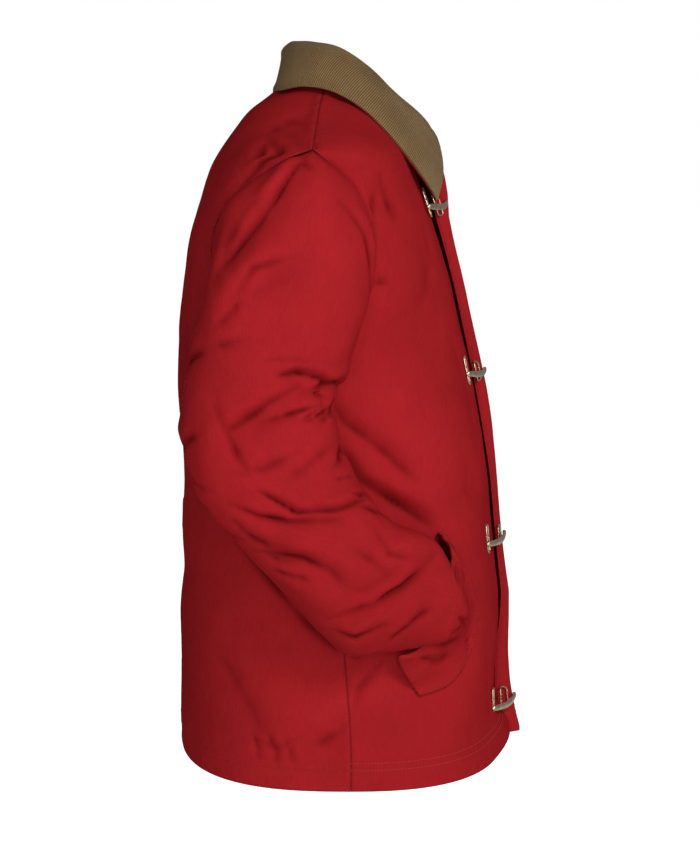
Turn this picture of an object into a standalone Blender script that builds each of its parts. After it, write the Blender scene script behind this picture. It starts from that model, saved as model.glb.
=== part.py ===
"""Fireman jacket: a hip-length canvas work jacket, filled out as if worn, with both
sleeves bent and their cuffs pushed into the front pockets.

Metres, +Z up. The front faces -Y and the wearer's right side is -X. The origin lies
between the shoulders at neck height, where the wearer carries the jacket. Every cloth
piece is a thin wall on one smooth form: the body pieces share the torso surface, and
the sleeves are rings from the armhole to the cuff.
"""

import math
from collections import namedtuple

import bmesh
import bpy
import numpy as np

MM = 0.001

# Driving dimensions.
CANVAS = 2.0 * MM  # wall of the body, sleeves and pockets
CORDUROY = 2.4 * MM  # wall of the top collar
UNDER_CLOTH = 1.4 * MM  # wall of the under collar
SEAM_GAP = 0.3 * MM  # clear space between neighbouring pieces
WIRE = 2.4 * MM  # diameter of the clasp wire
WIRE_LIFT = 0.8 * MM  # clear space under the clasp wire
WIRE_CORNER = 4 * MM  # bend radius at the corners of a wire frame
COLLAR_SPACE = 4.6 * MM  # clear space between the collar stand and the neckline
POCKET_SPACE = 0.8 * MM  # clear space under the stitched edge of a pocket
NECK_POINT = 10 * MM  # height where a shoulder seam meets the neckline
NECK_BACK = 4 * MM  # height of the neckline at the centre of the back
NECK_FRONT = -72 * MM  # height of the neckline at the centre of the front
SHOULDER_POINT = -60 * MM  # height where a shoulder seam meets the armhole
ARMPIT = -250 * MM  # height of the foot of the armhole
HEM_SIDE = -692 * MM
HEM_BACK = -668 * MM
HEM_FRONT = -670 * MM
LAP_UNDER = 26 * MM  # how far the right front runs past the middle, under the left
LAP_OVER = 30 * MM  # how far the left front runs past the middle, over the right
FLAP_EDGE = 3.4 * MM  # how far the left front's edge stays off the right front
FLAP_REACH = 95 * MM  # width over which the left front stands proud
SLEEVE_SPACE = 0.9 * MM  # how far the sleeve's first ring stands off the armhole
NECK_SCOOP = 2.2  # power that rounds the neckline down to the front
CHEST_ROW = -260 * MM  # height at the front's centre of the row that starts the armhole
FRONT_TOP_ROW = -128 * MM  # height at the front's centre of the shoulder point's row
BACK_TOP_ROW = -72 * MM  # the same at the centre of the back
COLLAR_TUCK = 7 * MM  # how far the collar stand runs down inside the neckline
COLLAR_RIDGE = 5.5 * MM  # half the width of the roll at the collar's top
COLLAR_LEAN = 25 * MM  # how far behind the origin the collar's outward lines meet
COLLAR_LAP = 0.6  # share of the left front's lap that the collar's left end follows
POCKET_BULGE = 19 * MM  # how far the pocket rounds out over the cuff
FOLD_ENDS = 0.35  # share of a fold's depth that is left at its two ends
CLASP_TOP = -117 * MM
CLASP_PITCH = 171.5 * MM
CLASPS = 4
FRAME_X = -60 * MM  # middle of the wire frames on the right front
LOOP_X = -14 * MM  # middle of the wire loops on the left front
FRAME_WIDTH = 13 * MM
FRAME_TALL = 32 * MM
LOOP_TALL = 26 * MM
HOOK_REAR = -68 * MM
HOOK_FRONT = -5 * MM
HOOK_RISE = 9 * MM  # how far the hook's front end lies above its rear end
HOOK_WIDTH = 6 * MM
HOOK_THICK = 2.6 * MM
HOOK_BOW = 5 * MM
HOOK_LIFT = 1.5 * MM  # clear space between a hook and the wires it crosses
HOOK_STEPS = 10
HOOK_SECTION = ((0.5, 0.22), (0.22, 0.5), (-0.22, 0.5), (-0.5, 0.22))

# Torso sections by height, in millimetres. Front and back are how far the surface
# reaches along Y at the middle, side is where its widest point lies along Y, flap is
# how far the left front stands proud of the right, and the last two columns are the
# exponents that square the section off, from 2 for an ellipse.
Section = namedtuple(
    "Section", "height half_width front back side flap front_square back_square"
)
TORSO = (
    Section(-700, 208, -191, 158, -22, 20, 2.4, 2.6),
    Section(-650, 204, -174, 156, -22, 24, 2.4, 2.6),
    Section(-600, 201, -172, 155, -19, 19, 2.4, 2.6),
    Section(-540, 198, -174, 155, -14, 13, 2.4, 2.6),
    Section(-470, 194, -170, 153, -8, 11, 2.4, 2.6),
    Section(-400, 190, -164, 154, 3, 11, 2.4, 2.6),
    Section(-320, 187, -151, 157, 12, 15, 2.4, 2.8),
    Section(-250, 190, -137, 156, 20, 15, 2.3, 3.2),
    Section(-200, 198, -126, 151, 20, 15, 2.3, 3.8),
    Section(-150, 209, -113, 143, 19, 16, 2.2, 4.2),
    Section(-110, 219, -100, 132, 17, 20, 2.2, 3.7),
    Section(-84, 224, -91, 123, 16, 24, 2.1, 3.1),
    Section(-60, 226, -81, 112, 15, 24, 2.1, 2.8),
    Section(-37, 177, -69, 98, 12, 12, 2.1, 2.6),
    Section(-15, 131, -60, 81, 9, 0, 2.0, 2.3),
    Section(0, 97, -54, 61, 6, 0, 1.8, 2.0),
    Section(15, 66, -48, 46, 5, 0, 1.7, 1.9),
)

# Front and back edge of the armhole along Y by height, in millimetres.
ArmholeRow = namedtuple("ArmholeRow", "height front back")
ARMHOLE = (
    ArmholeRow(-250, 20, 20),
    ArmholeRow(-247, 5, 48),
    ArmholeRow(-236, -12, 78),
    ArmholeRow(-215, -28, 99),
    ArmholeRow(-185, -39, 111),
    ArmholeRow(-150, -43, 114),
    ArmholeRow(-128, -41, 108),
    ArmholeRow(-105, -32, 92),
    ArmholeRow(-92, -23, 75),
    ArmholeRow(-79, -9, 56),
    ArmholeRow(-67, 6, 35),
    ArmholeRow(-60, 15, 15),
)

# Rings of the right sleeve, in millimetres and degrees. Tilt turns the ring about Y,
# from 0 where it stands upright in the armhole to 90 where the arm hangs. Swing turns
# it forwards. Across is the half size from the body outwards, fore the half size from
# front to back.
Ring = namedtuple("Ring", "station x y z tilt swing across fore square")
SLEEVE = (
    Ring(0, -208, 36, -155, 11, 0, 95, 77, 2.0),
    Ring(1, -222, 36, -160, 18, 0, 96, 77, 2.1),
    Ring(2, -232, 37, -175, 27, 0, 87, 77, 2.2),
    Ring(3, -240, 40, -196, 38, 0, 75, 78, 2.2),
    Ring(4, -244, 45, -220, 52, -2, 64, 78, 2.3),
    Ring(5, -247, 52, -247, 67, -2, 57, 78, 2.3),
    Ring(6, -249, 60, -276, 80, 0, 55, 77, 2.3),
    Ring(7, -251, 68, -305, 88, 5, 55, 75, 2.3),
    Ring(8, -252, 65, -336, 90, 13, 55, 75, 2.3),
    Ring(9, -252, 54, -368, 90, 22, 55, 71, 2.3),
    Ring(10, -251, 38, -396, 90, 29, 54, 66, 2.3),
    Ring(11, -250, 18, -424, 90, 38, 53, 62, 2.3),
    Ring(12, -248, -6, -450, 90, 48, 52, 61, 2.3),
    Ring(13, -244, -30, -471, 90, 56, 50, 62, 2.2),
    Ring(14, -240, -54, -484, 90, 62, 46, 62, 2.2),
    Ring(15, -230, -78, -490, 90, 66, 38, 57, 2.1),
    Ring(16, -216, -103, -499, 90, 70, 29, 45, 2.1),
    Ring(17, -203, -122, -507, 90, 74, 18, 33, 2.0),
)

# Folds as soft troughs between two points of the side view, in millimetres. Facing is
# 1 for the outer side of the sleeve or body and -1 for the side towards the middle.
Fold = namedtuple("Fold", "from_y from_z to_y to_z depth width facing")
SLEEVE_FOLDS = (
    Fold(26, -72, 80, -145, 9, 17, 1),
    Fold(76, -136, 106, -176, 6, 15, 1),
    Fold(33, -161, 90, -205, 5, 13, 1),
    Fold(42, -271, -8, -286, 11, 14, 1),
    Fold(24, -290, 100, -332, 9, 15, 1),
    Fold(93, -396, -14, -409, 9, 15, 1),
    Fold(71, -440, -17, -474, 8, 15, 1),
    Fold(-8, -506, -104, -456, 12, 14, 1),
    Fold(48, -282, -6, -300, 9, 14, -1),
    Fold(92, -330, 16, -318, 8, 14, -1),
    Fold(70, -392, -20, -404, 8, 15, -1),
    Fold(40, -446, -40, -462, 8, 15, -1),
)
FRONT_FOLDS = (
    Fold(-4, -308, -38, -347, 5, 14, 1),
    Fold(-34, -344, -72, -374, 6, 15, 1),
    Fold(-14, -354, -30, -386, 7, 14, 1),
    Fold(-28, -382, -70, -411, 10, 15, 1),
    Fold(-66, -408, -108, -437, 9, 15, 1),
)

# Stations of the collar from the middle of the back to its front end, in millimetres:
# turn is the place on the neckline in degrees from the front, roll the fold line and
# edge the free edge of the fall. Belly is how far the fall rounds out between them.
CollarRow = namedtuple(
    "CollarRow", "station turn roll_x roll_y roll_z edge_x edge_y edge_z belly"
)
COLLAR = (
    CollarRow(0, 180, 0, 46, 52, 0, 63, 6, 1),
    CollarRow(1, 152, -46, 38, 52, -60, 53, 5, 1),
    CollarRow(2, 122, -75, 15, 49, -96, 27, 5, 2),
    CollarRow(3, 88, -84, -12, 41, -116, -5, -1, 3),
    CollarRow(4, 55, -78, -42, 22, -123, -40, -22, 4),
    CollarRow(5, 30, -58, -71, -9, -115, -73, -56, 5),
    CollarRow(6, 14, -30, -95, -36, -92, -97, -88, 5),
    CollarRow(7, 5, -16, -103, -46, -62, -112, -110, 5),
)

# The right pocket, in millimetres. Its mouth runs over the end of the sleeve, and its
# stitched edge lies on the front: only its Y and height are given.
MouthRow = namedtuple("MouthRow", "station x y z")
MOUTH = (
    MouthRow(0.00, -173, -111, -440),
    MouthRow(0.14, -217, -120, -447),
    MouthRow(0.30, -242, -120, -474),
    MouthRow(0.48, -247, -119, -508),
    MouthRow(0.64, -244, -107, -534),
    MouthRow(0.78, -236, -86, -549),
    MouthRow(0.89, -222, -68, -556),
    MouthRow(1.00, -199, -79, -585),
)
EdgeRow = namedtuple("EdgeRow", "station y z")
POCKET_EDGE = (
    EdgeRow(0.00, -117, -443),
    EdgeRow(0.20, -134, -472),
    EdgeRow(0.40, -147, -503),
    EdgeRow(0.58, -150, -532),
    EdgeRow(0.74, -143, -563),
    EdgeRow(0.88, -122, -591),
    EdgeRow(1.00, -90, -600),
)

# Grid sizes of the walls.
ROWS_BELOW_ARM = 13
ROWS_ALONG_ARM = 11
ROWS_OVER_SHOULDER = 5
BACK_COLUMNS = 22
FRONT_COLUMNS = 14
FRONT_CROWDING = 1.35  # above 1, the columns crowd towards the lapped edge
ROW_SAMPLES = 90  # points along a panel's row before it is spaced evenly
SLEEVE_ROWS = 30
SLEEVE_BLEND = 5  # station where the armhole's own outline has eased out of the sleeve
COLLAR_COLUMNS = 34
POCKET_ROWS = 16
POCKET_COLUMNS = 8


def smooth_column(table, key, name, at):
    """One column of a table at the key values `at`, on a smooth curve through its rows."""
    keys = np.array([getattr(row, key) for row in table], float)
    values = np.array([getattr(row, name) for row in table], float)
    slopes = np.gradient(values, keys)
    at = np.clip(np.asarray(at, float), keys[0], keys[-1])
    spot = np.clip(np.searchsorted(keys, at) - 1, 0, len(keys) - 2)
    span = keys[spot + 1] - keys[spot]
    part = (at - keys[spot]) / span
    rest = 1 - part
    start = rest * rest * ((1 + 2 * part) * values[spot] + part * span * slopes[spot])
    end = part * part * (
        (1 + 2 * rest) * values[spot + 1] - rest * span * slopes[spot + 1]
    )
    return start + end


def ease(amount):
    """0 to 1 with a soft start and end."""
    amount = np.clip(amount, 0, 1)
    return amount * amount * (3 - 2 * amount)


def torso(name, height):
    """A column of the torso table at a height in metres, in metres or as an exponent."""
    value = smooth_column(TORSO, "height", name, np.asarray(height) / MM)
    return value if name.endswith("square") else value * MM


def body_point(angle, height):
    """The torso surface. Angle runs from 0 at the front over 90 degrees at the right."""
    forward = np.cos(angle) >= 0
    square = np.where(forward, torso("front_square", height), torso("back_square", height))
    across = np.sign(np.sin(angle)) * np.abs(np.sin(angle)) ** (2 / square)
    along = np.abs(np.cos(angle)) ** (2 / square)
    side = torso("side", height)
    reach = np.where(forward, torso("front", height), torso("back", height)) - side
    x = -torso("half_width", height) * across
    return np.stack([x, side + reach * along, height + 0 * x], -1)


def body_normal(angle, height):
    """Unit vectors square to the torso surface, pointing out."""
    turn = math.radians(0.5)
    rise = 2 * MM
    around = body_point(angle + turn, height) - body_point(angle - turn, height)
    upward = body_point(angle, height + rise) - body_point(angle, height - rise)
    return unit(np.cross(upward, around))


def unit(vectors):
    return vectors / np.linalg.norm(vectors, axis=-1, keepdims=True)


def angle_at_y(y, height, forward):
    """The angle where the surface at this height passes Y, on its front or its back."""
    side = torso("side", height)
    reach = torso("front" if forward else "back", height) - side
    square = torso("front_square" if forward else "back_square", height)
    angle = np.arccos(np.clip((y - side) / reach, 0, 1) ** (square / 2))
    return angle if forward else math.pi - angle


def angle_at_x(x, height):
    """The angle where the front surface at this height passes X."""
    share = np.clip(np.abs(x) / torso("half_width", height), 0, 1)
    return -np.sign(x) * np.arcsin(share ** (torso("front_square", height) / 2))


def neck_height(angle):
    """Height of the neckline at an angle."""
    angle = np.abs(angle)
    share = np.clip(angle / (math.pi / 2), 0, 1)
    front = NECK_FRONT + (NECK_POINT - NECK_FRONT) * (1 - (1 - share) ** NECK_SCOOP)
    back = NECK_POINT + (NECK_BACK - NECK_POINT) * ease(angle / (math.pi / 2) - 1)
    return np.where(angle < math.pi / 2, front, back)


def side_angle(height, forward):
    """Where a panel ends: at the side seam, the armhole or the shoulder seam."""
    if height <= ARMPIT or height >= SHOULDER_POINT:
        return math.pi / 2
    name = "front" if forward else "back"
    edge = smooth_column(ARMHOLE, "height", name, height / MM) * MM
    return float(angle_at_y(edge, height, forward))


def panel_heights(centre_hem, centre_arm, centre_shoulder):
    """(side height, centre height, rise) of each row of a panel, hem to neck."""
    side = [HEM_SIDE, ARMPIT, SHOULDER_POINT, NECK_POINT]
    centre = [centre_hem, centre_arm, centre_shoulder, None]
    rows = []
    for step, count in enumerate((ROWS_BELOW_ARM, ROWS_ALONG_ARM, ROWS_OVER_SHOULDER)):
        for index in range(count):
            share = index / count
            if step == 1:
                share = (1 - math.cos(math.pi * share)) / 2
            high = side[step] + (side[step + 1] - side[step]) * share
            if step < 2:
                middle = centre[step] + (centre[step + 1] - centre[step]) * share
                rows.append((high, middle, 0.0))
            else:
                rows.append((high, centre[step], share))
    rows.append((NECK_POINT, centre[2], 1.0))
    return rows


def panel_row(start, end, side_height, centre_height, to_neck, centre_at_start):
    """Dense angles and heights along one row of a panel."""
    share = np.linspace(0, 1, ROW_SAMPLES)
    angles = start + (end - start) * share
    from_centre = np.abs(np.abs(angles) - (0 if centre_at_start else math.pi))
    quarter = np.clip(from_centre / (math.pi / 2), 0, 1)
    level = centre_height + (side_height - centre_height) * (1 - (1 - quarter) ** 2)
    heights = level + (neck_height(angles) - level) * to_neck
    return angles, heights


def spaced_row(angles, heights, count, crowding=1.0):
    """Points and normals along a row, with half a seam's gap left at each end."""
    trim = SEAM_GAP / 2
    points = body_point(angles, heights)
    lengths = np.concatenate([[0], np.cumsum(np.linalg.norm(np.diff(points, axis=0), axis=1))])
    share = np.linspace(0, 1, count) ** crowding
    stops = trim + (lengths[-1] - 2 * trim) * share
    angle = np.interp(stops, lengths, angles)
    height = np.interp(stops, lengths, heights)
    return body_point(angle, height), body_normal(angle, height)


def fold_depth(points, normals, folds):
    """How far the folds push each point in, in metres."""
    depth = np.zeros(points.shape[:-1])
    for fold in folds:
        start = np.array([fold.from_y, fold.from_z]) * MM
        run = np.array([fold.to_y, fold.to_z]) * MM - start
        offset = points[..., 1:] - start
        along = np.clip(offset @ run / (run @ run), 0, 1)
        away = np.linalg.norm(offset - along[..., None] * run, axis=-1)
        facing = np.clip(-2 * normals[..., 0] * fold.facing, 0, 1)
        ends = FOLD_ENDS + (1 - FOLD_ENDS) * np.sin(math.pi * along)
        depth += fold.depth * MM * np.exp(-((away / (fold.width * MM)) ** 2)) * facing * ends
    return depth


def pressed(points, normals, folds):
    """The points moved in by the folds, for either half of the body."""
    mirrored = points[..., :1] > 0
    flip = np.where(mirrored, np.array([-1.0, 1.0, 1.0]), 1.0)
    depth = fold_depth(points * flip, normals * flip, folds)
    return points - normals * depth[..., None]


def flap_shift(points):
    """How far forward the left front stands at these points."""
    proud = torso("flap", points[..., 2]) * ease(1 - np.abs(points[..., 0]) / FLAP_REACH)
    rolled = (proud - FLAP_EDGE) * ease(-points[..., 0] / LAP_OVER)
    return proud - rolled


def front_panel(side):
    """Grid of points and normals of a front: side is 1 for the right, -1 for the left."""
    points = []
    normals = []
    for side_height, centre, to_neck in panel_heights(HEM_FRONT, CHEST_ROW, FRONT_TOP_ROW):
        lap = LAP_UNDER if side > 0 else LAP_OVER
        middle = centre + (NECK_FRONT - centre) * to_neck
        start = float(angle_at_x(lap * side, middle))
        end = side * side_angle(side_height, True)
        angles, heights = panel_row(start, end, side_height, centre, to_neck, True)
        row, row_normals = spaced_row(angles, heights, FRONT_COLUMNS, FRONT_CROWDING)
        points.append(row)
        normals.append(row_normals)
    points = pressed(np.array(points), np.array(normals), FRONT_FOLDS)
    if side < 0:
        points[..., 1] -= flap_shift(points)
    return points, np.array(normals)


def back_panel():
    points = []
    normals = []
    for side_height, centre, to_neck in panel_heights(HEM_BACK, ARMPIT, BACK_TOP_ROW):
        edge = side_angle(side_height, False)
        angles, heights = panel_row(
            edge, 2 * math.pi - edge, side_height, centre, to_neck, False
        )
        row, row_normals = spaced_row(angles, heights, BACK_COLUMNS)
        points.append(row)
        normals.append(row_normals)
    return np.array(points), np.array(normals)


def armhole_loop():
    """The panels' own edge points round the right armhole, down its front from the top."""
    share = np.arange(ROWS_ALONG_ARM + 1) / ROWS_ALONG_ARM
    heights = ARMPIT + (SHOULDER_POINT - ARMPIT) * (1 - np.cos(math.pi * share)) / 2
    front = [body_point(side_angle(level, True), level) for level in heights[::-1]]
    back = [body_point(side_angle(level, False), level) for level in heights[1:-1]]
    return np.array(front + back)


def sleeve_ring(station, count):
    """One ring of the right sleeve, from its outer side round over its front."""
    row = {name: float(smooth_column(SLEEVE, "station", name, station)) for name in Ring._fields}
    tilt = math.radians(row["tilt"])
    swing = math.radians(row["swing"])
    outer = np.array([-math.sin(tilt), 0, math.cos(tilt)])
    fore = np.array([0.0, -1.0, 0.0])
    lean = np.array(
        [
            [1, 0, 0],
            [0, math.cos(swing), math.sin(swing)],
            [0, -math.sin(swing), math.cos(swing)],
        ]
    )
    outer, fore = lean @ outer, lean @ fore
    turn = np.linspace(0, 2 * math.pi, count, endpoint=False)
    power = 2 / row["square"]
    up = np.sign(np.cos(turn)) * np.abs(np.cos(turn)) ** power * row["across"] * MM
    front = np.sign(np.sin(turn)) * np.abs(np.sin(turn)) ** power * row["fore"] * MM
    centre = np.array([row["x"], row["y"], row["z"]]) * MM
    return centre + up[:, None] * outer + front[:, None] * fore


def sleeve_grid():
    """Rings of the right sleeve: the first follows the armhole, the rest ease away."""
    stations = np.linspace(0, SLEEVE[-1].station, SLEEVE_ROWS)
    loop = armhole_loop()
    rings = np.array([sleeve_ring(station, len(loop)) for station in stations])
    shape = loop - rings[0]
    for index, station in enumerate(stations):
        rings[index] += shape * (1 - ease(station / SLEEVE_BLEND))
    first = unit(rings[1] - rings[0])
    rings[0] += first * SLEEVE_SPACE
    around = np.roll(rings, -1, axis=1) - np.roll(rings, 1, axis=1)
    along = np.gradient(rings, axis=0)
    normals = unit(np.cross(along, around))
    return pressed(rings, normals, SLEEVE_FOLDS), normals


def collar_grid():
    """Grid of the collar's outer face, from the fall's edge over the roll into the neck."""
    last = COLLAR[-1].station
    half = [last - 2 * last * index / (COLLAR_COLUMNS - 1) for index in range(COLLAR_COLUMNS)]
    columns = []
    for place in half:
        side = 1 if place >= 0 else -1
        get = {n: float(smooth_column(COLLAR, "station", n, abs(place))) for n in CollarRow._fields}
        mirror = np.array([side, 1, 1])
        roll = np.array([get["roll_x"], get["roll_y"], get["roll_z"]]) * MM * mirror
        edge = np.array([get["edge_x"], get["edge_y"], get["edge_z"]]) * MM * mirror
        turn = math.radians(get["turn"]) * side
        level = float(neck_height(turn))
        inside = body_normal(turn, level - COLLAR_TUCK) * (CANVAS + CORDUROY + COLLAR_SPACE)
        foot = body_point(turn, level - COLLAR_TUCK) - inside
        neck = body_point(turn, level) - inside
        out = unit(np.array([roll[0], roll[1] + COLLAR_LEAN, 0]))
        path = [
            edge,
            (2 * edge + roll) / 3 + out * get["belly"] * MM,
            (edge + 2 * roll) / 3 + out * (get["belly"] + 1) * MM,
            roll + out * COLLAR_RIDGE - np.array([0, 0, COLLAR_RIDGE]),
            roll,
            roll - out * COLLAR_RIDGE - np.array([0, 0, COLLAR_RIDGE]),
            (neck + roll) / 2 - out * 3 * MM,
            neck,
            foot,
        ]
        if side < 0:
            shifts = [COLLAR_LAP * float(flap_shift(point)) for point in path]
            path = [point - np.array([0, shift, 0]) for point, shift in zip(path, shifts)]
        columns.append(path)
    points = np.array(columns).transpose(1, 0, 2)
    return points, grid_normals(points)


def grid_normals(points):
    """Normals of an open grid from its own rows and columns."""
    return unit(np.cross(np.gradient(points, axis=0), np.gradient(points, axis=1)))


def pocket_grid():
    """Grid of the right pocket from its mouth, over the cuff, to its stitched edge."""
    stations = np.linspace(0, 1, POCKET_ROWS)
    rows = []
    for station in stations:
        mouth = np.array([float(smooth_column(MOUTH, "station", n, station)) for n in "xyz"]) * MM
        y = float(smooth_column(POCKET_EDGE, "station", "y", station)) * MM
        z = float(smooth_column(POCKET_EDGE, "station", "z", station)) * MM
        angle = angle_at_y(y, z, True)
        lift = body_normal(angle, z) * (CANVAS + POCKET_SPACE)
        edge = body_point(angle, z) + lift
        share = np.linspace(0, 1, POCKET_COLUMNS)[:, None]
        line = mouth + (edge - mouth) * share
        bulge = POCKET_BULGE * math.sin(math.pi * station) * np.sin(math.pi * share)
        rows.append(line + unit(lift) * bulge)
    points = np.array(rows)
    return points, grid_normals(points)


def material(name, color, roughness, metallic=0.0):
    made = bpy.data.materials.new(name)
    made.use_nodes = True
    shader = made.node_tree.nodes["Principled BSDF"]
    shader.inputs["Base Color"].default_value = (*color, 1)
    shader.inputs["Roughness"].default_value = roughness
    shader.inputs["Metallic"].default_value = metallic
    return made


def add_mesh(name, vertices, faces, look, collection):
    mesh = bpy.data.meshes.new(name)
    mesh.from_pydata([tuple(map(float, vertex)) for vertex in vertices], [], faces)
    made = bmesh.new()
    made.from_mesh(mesh)
    bmesh.ops.recalc_face_normals(made, faces=made.faces)
    made.to_mesh(mesh)
    made.free()
    mesh.shade_smooth()
    mesh.set_sharp_from_angle(angle=math.radians(40))
    mesh.materials.append(look)
    piece = bpy.data.objects.new(name, mesh)
    collection.objects.link(piece)
    return piece


def wall(name, points, normals, thickness, look, collection, closed=False):
    """A closed wall between a grid of points and the same grid moved in."""
    rows, columns = points.shape[:2]
    inner = points - normals * thickness
    vertices = np.concatenate([points.reshape(-1, 3), inner.reshape(-1, 3)])
    shift = rows * columns
    faces = []
    last = columns if closed else columns - 1
    for row in range(rows - 1):
        for column in range(last):
            beside = (column + 1) % columns
            a = row * columns + column
            b = row * columns + beside
            c, d = b + columns, a + columns
            faces.append((a, b, c, d))
            faces.append((a + shift, d + shift, c + shift, b + shift))
    for row in (0, rows - 1):
        for column in range(last):
            a = row * columns + column
            b = row * columns + (column + 1) % columns
            faces.append((a, a + shift, b + shift, b))
    if not closed:
        for column in (0, columns - 1):
            for row in range(rows - 1):
                a = row * columns + column
                b = a + columns
                faces.append((a, b, b + shift, a + shift))
    return add_mesh(name, vertices, faces, look, collection)


def mirrored(grid):
    """A grid and its normals on the other side of the body."""
    points, normals = grid
    flip = np.array([-1, 1, 1])
    return points * flip, normals * flip


def surface_at(x, height, left):
    """Outer face of a front near the middle, with its normal."""

    def place(across, level):
        point = body_point(angle_at_x(across, level), level)
        return point - np.array([0, float(flap_shift(point)) if left else 0, 0])

    step = 2 * MM
    across = place(x + step, height) - place(x - step, height)
    upward = place(x, height + step) - place(x, height - step)
    return place(x, height), unit(np.cross(across, upward))


def wire_loop(name, left, x, height, tall, look, collection):
    """A rounded wire frame that lies on a front."""
    corner = WIRE_CORNER
    spline_points = []
    for corner_x, corner_z, start in ((1, 1, 0), (-1, 1, 90), (-1, -1, 180), (1, -1, 270)):
        for step in range(4):
            turn = math.radians(start + 30 * step)
            px = x + corner_x * (FRAME_WIDTH / 2 - corner) + corner * math.cos(turn)
            pz = height + corner_z * (tall / 2 - corner) + corner * math.sin(turn)
            point, normal = surface_at(px, pz, left)
            spline_points.append(point + normal * (WIRE / 2 + WIRE_LIFT))
    curve = bpy.data.curves.new(name, "CURVE")
    curve.dimensions = "3D"
    spline = curve.splines.new("POLY")
    spline.points.add(len(spline_points) - 1)
    for target, point in zip(spline.points, spline_points):
        target.co = (*point, 1)
    spline.use_cyclic_u = True
    curve.bevel_depth = WIRE / 2
    curve.bevel_resolution = 1
    curve.materials.append(look)
    piece = bpy.data.objects.new(name, curve)
    collection.objects.link(piece)
    return piece


def hook(name, height, look, collection):
    """A bowed flat bar from the wire frame on the right front to the loop on the left."""
    ends = []
    for x, rise, left in ((HOOK_REAR, -HOOK_RISE / 2, False), (HOOK_FRONT, HOOK_RISE / 2, True)):
        point, _ = surface_at(x, height + rise, left)
        lift = WIRE + HOOK_THICK / 2 + HOOK_LIFT
        ends.append(point - np.array([0, lift, 0]))
    share = np.linspace(0, 1, HOOK_STEPS)[:, None]
    bow = np.sin(math.pi * share) * np.array([0, -HOOK_BOW, 0])
    centres = ends[0] + (ends[1] - ends[0]) * share + bow
    along = unit(np.gradient(centres, axis=0))
    out = unit(np.cross(np.array([0.0, 0.0, 1.0]), along))
    out = np.where(out[:, 1:2] > 0, -out, out)
    wide = unit(np.cross(out, along))
    corners = HOOK_SECTION + tuple((-a, -b) for a, b in HOOK_SECTION)
    vertices = []
    for centre, outward, upward in zip(centres, out, wide):
        for a, b in corners:
            vertices.append(centre + upward * a * HOOK_WIDTH + outward * b * HOOK_THICK)
    count = len(corners)
    faces = [tuple(range(count)), tuple(range(len(vertices) - count, len(vertices)))]
    for row in range(HOOK_STEPS - 1):
        for side in range(count):
            a = row * count + side
            b = row * count + (side + 1) % count
            faces.append((a, b, b + count, a + count))
    return add_mesh(name, vertices, faces, look, collection)


def clasp(number, height, look, collection):
    """A wire frame on the right front, its hook, and the wire loop on the left front."""
    frame = (FRAME_X, height - HOOK_RISE / 2, FRAME_TALL)
    loop = (LOOP_X, height + HOOK_RISE / 3, LOOP_TALL)
    wire_loop(f"clasp_frame_{number}", False, *frame, look, collection)
    wire_loop(f"clasp_loop_{number}", True, *loop, look, collection)
    hook(f"clasp_hook_{number}", height, look, collection)


def build():
    for old in list(bpy.data.objects):
        bpy.data.objects.remove(old, do_unlink=True)
    jacket = bpy.data.collections.new("fireman_jacket")
    bpy.context.scene.collection.children.link(jacket)
    red = material("red_canvas", (0.37, 0.012, 0.016), 0.85)
    tan = material("tan_corduroy", (0.2, 0.12, 0.05), 0.9)
    brass = material("aged_brass", (0.45, 0.38, 0.27), 0.35, 1.0)

    wall("back", *back_panel(), CANVAS, red, jacket)
    wall("front_right", *front_panel(1), CANVAS, red, jacket)
    wall("front_left", *front_panel(-1), CANVAS, red, jacket)

    sleeve = sleeve_grid()
    wall("sleeve_right", *sleeve, CANVAS, red, jacket, closed=True)
    wall("sleeve_left", *mirrored(sleeve), CANVAS, red, jacket, closed=True)

    points, normals = collar_grid()
    wall("collar", points, normals, CORDUROY, tan, jacket)
    under = points[:4] - normals[:4] * (CORDUROY + SEAM_GAP)
    wall("undercollar", under, normals[:4], UNDER_CLOTH, red, jacket)

    pocket = pocket_grid()
    wall("pocket_right", *pocket, CANVAS, red, jacket)
    wall("pocket_left", *mirrored(pocket), CANVAS, red, jacket)

    for index in range(CLASPS):
        clasp(index + 1, CLASP_TOP - CLASP_PITCH * index, brass, jacket)


build()
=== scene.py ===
"""Fireman jacket: the dressed model of a canvas work jacket, filled out as if worn.

The frame holds the solid of every piece. Each cloth piece here is a thin shell on
nearly the same form, with its creases, seams and stitching, and stands in its solid's
place.
Metres, +Z up. The front faces -Y and the wearer's right side is -X.
"""

import math
from collections import namedtuple

import bmesh
import bpy
import numpy as np
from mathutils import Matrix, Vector, noise


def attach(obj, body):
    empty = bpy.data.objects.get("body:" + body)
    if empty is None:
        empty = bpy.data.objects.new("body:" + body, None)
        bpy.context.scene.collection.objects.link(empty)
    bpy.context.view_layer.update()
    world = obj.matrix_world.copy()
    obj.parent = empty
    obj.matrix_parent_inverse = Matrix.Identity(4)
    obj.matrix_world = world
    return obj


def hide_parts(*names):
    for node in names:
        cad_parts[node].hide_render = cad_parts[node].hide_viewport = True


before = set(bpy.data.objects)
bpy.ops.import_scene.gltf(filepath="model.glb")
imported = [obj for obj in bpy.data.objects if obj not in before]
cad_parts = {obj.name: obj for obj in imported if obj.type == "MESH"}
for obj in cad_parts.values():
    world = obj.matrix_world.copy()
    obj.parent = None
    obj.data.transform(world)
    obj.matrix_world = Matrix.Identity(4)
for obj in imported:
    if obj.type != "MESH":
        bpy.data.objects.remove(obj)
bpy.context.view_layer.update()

bl_info = {
    "name": "Fireman Jacket",
    "version": (1, 0, 0),
    "blender": (4, 5, 0),
    "location": "3D View > Sidebar > Jacket",
    "description": "Builds the cloth, stitching, clasps and studio of a canvas work jacket",
    "category": "Object",
}

MM = 0.001

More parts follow.
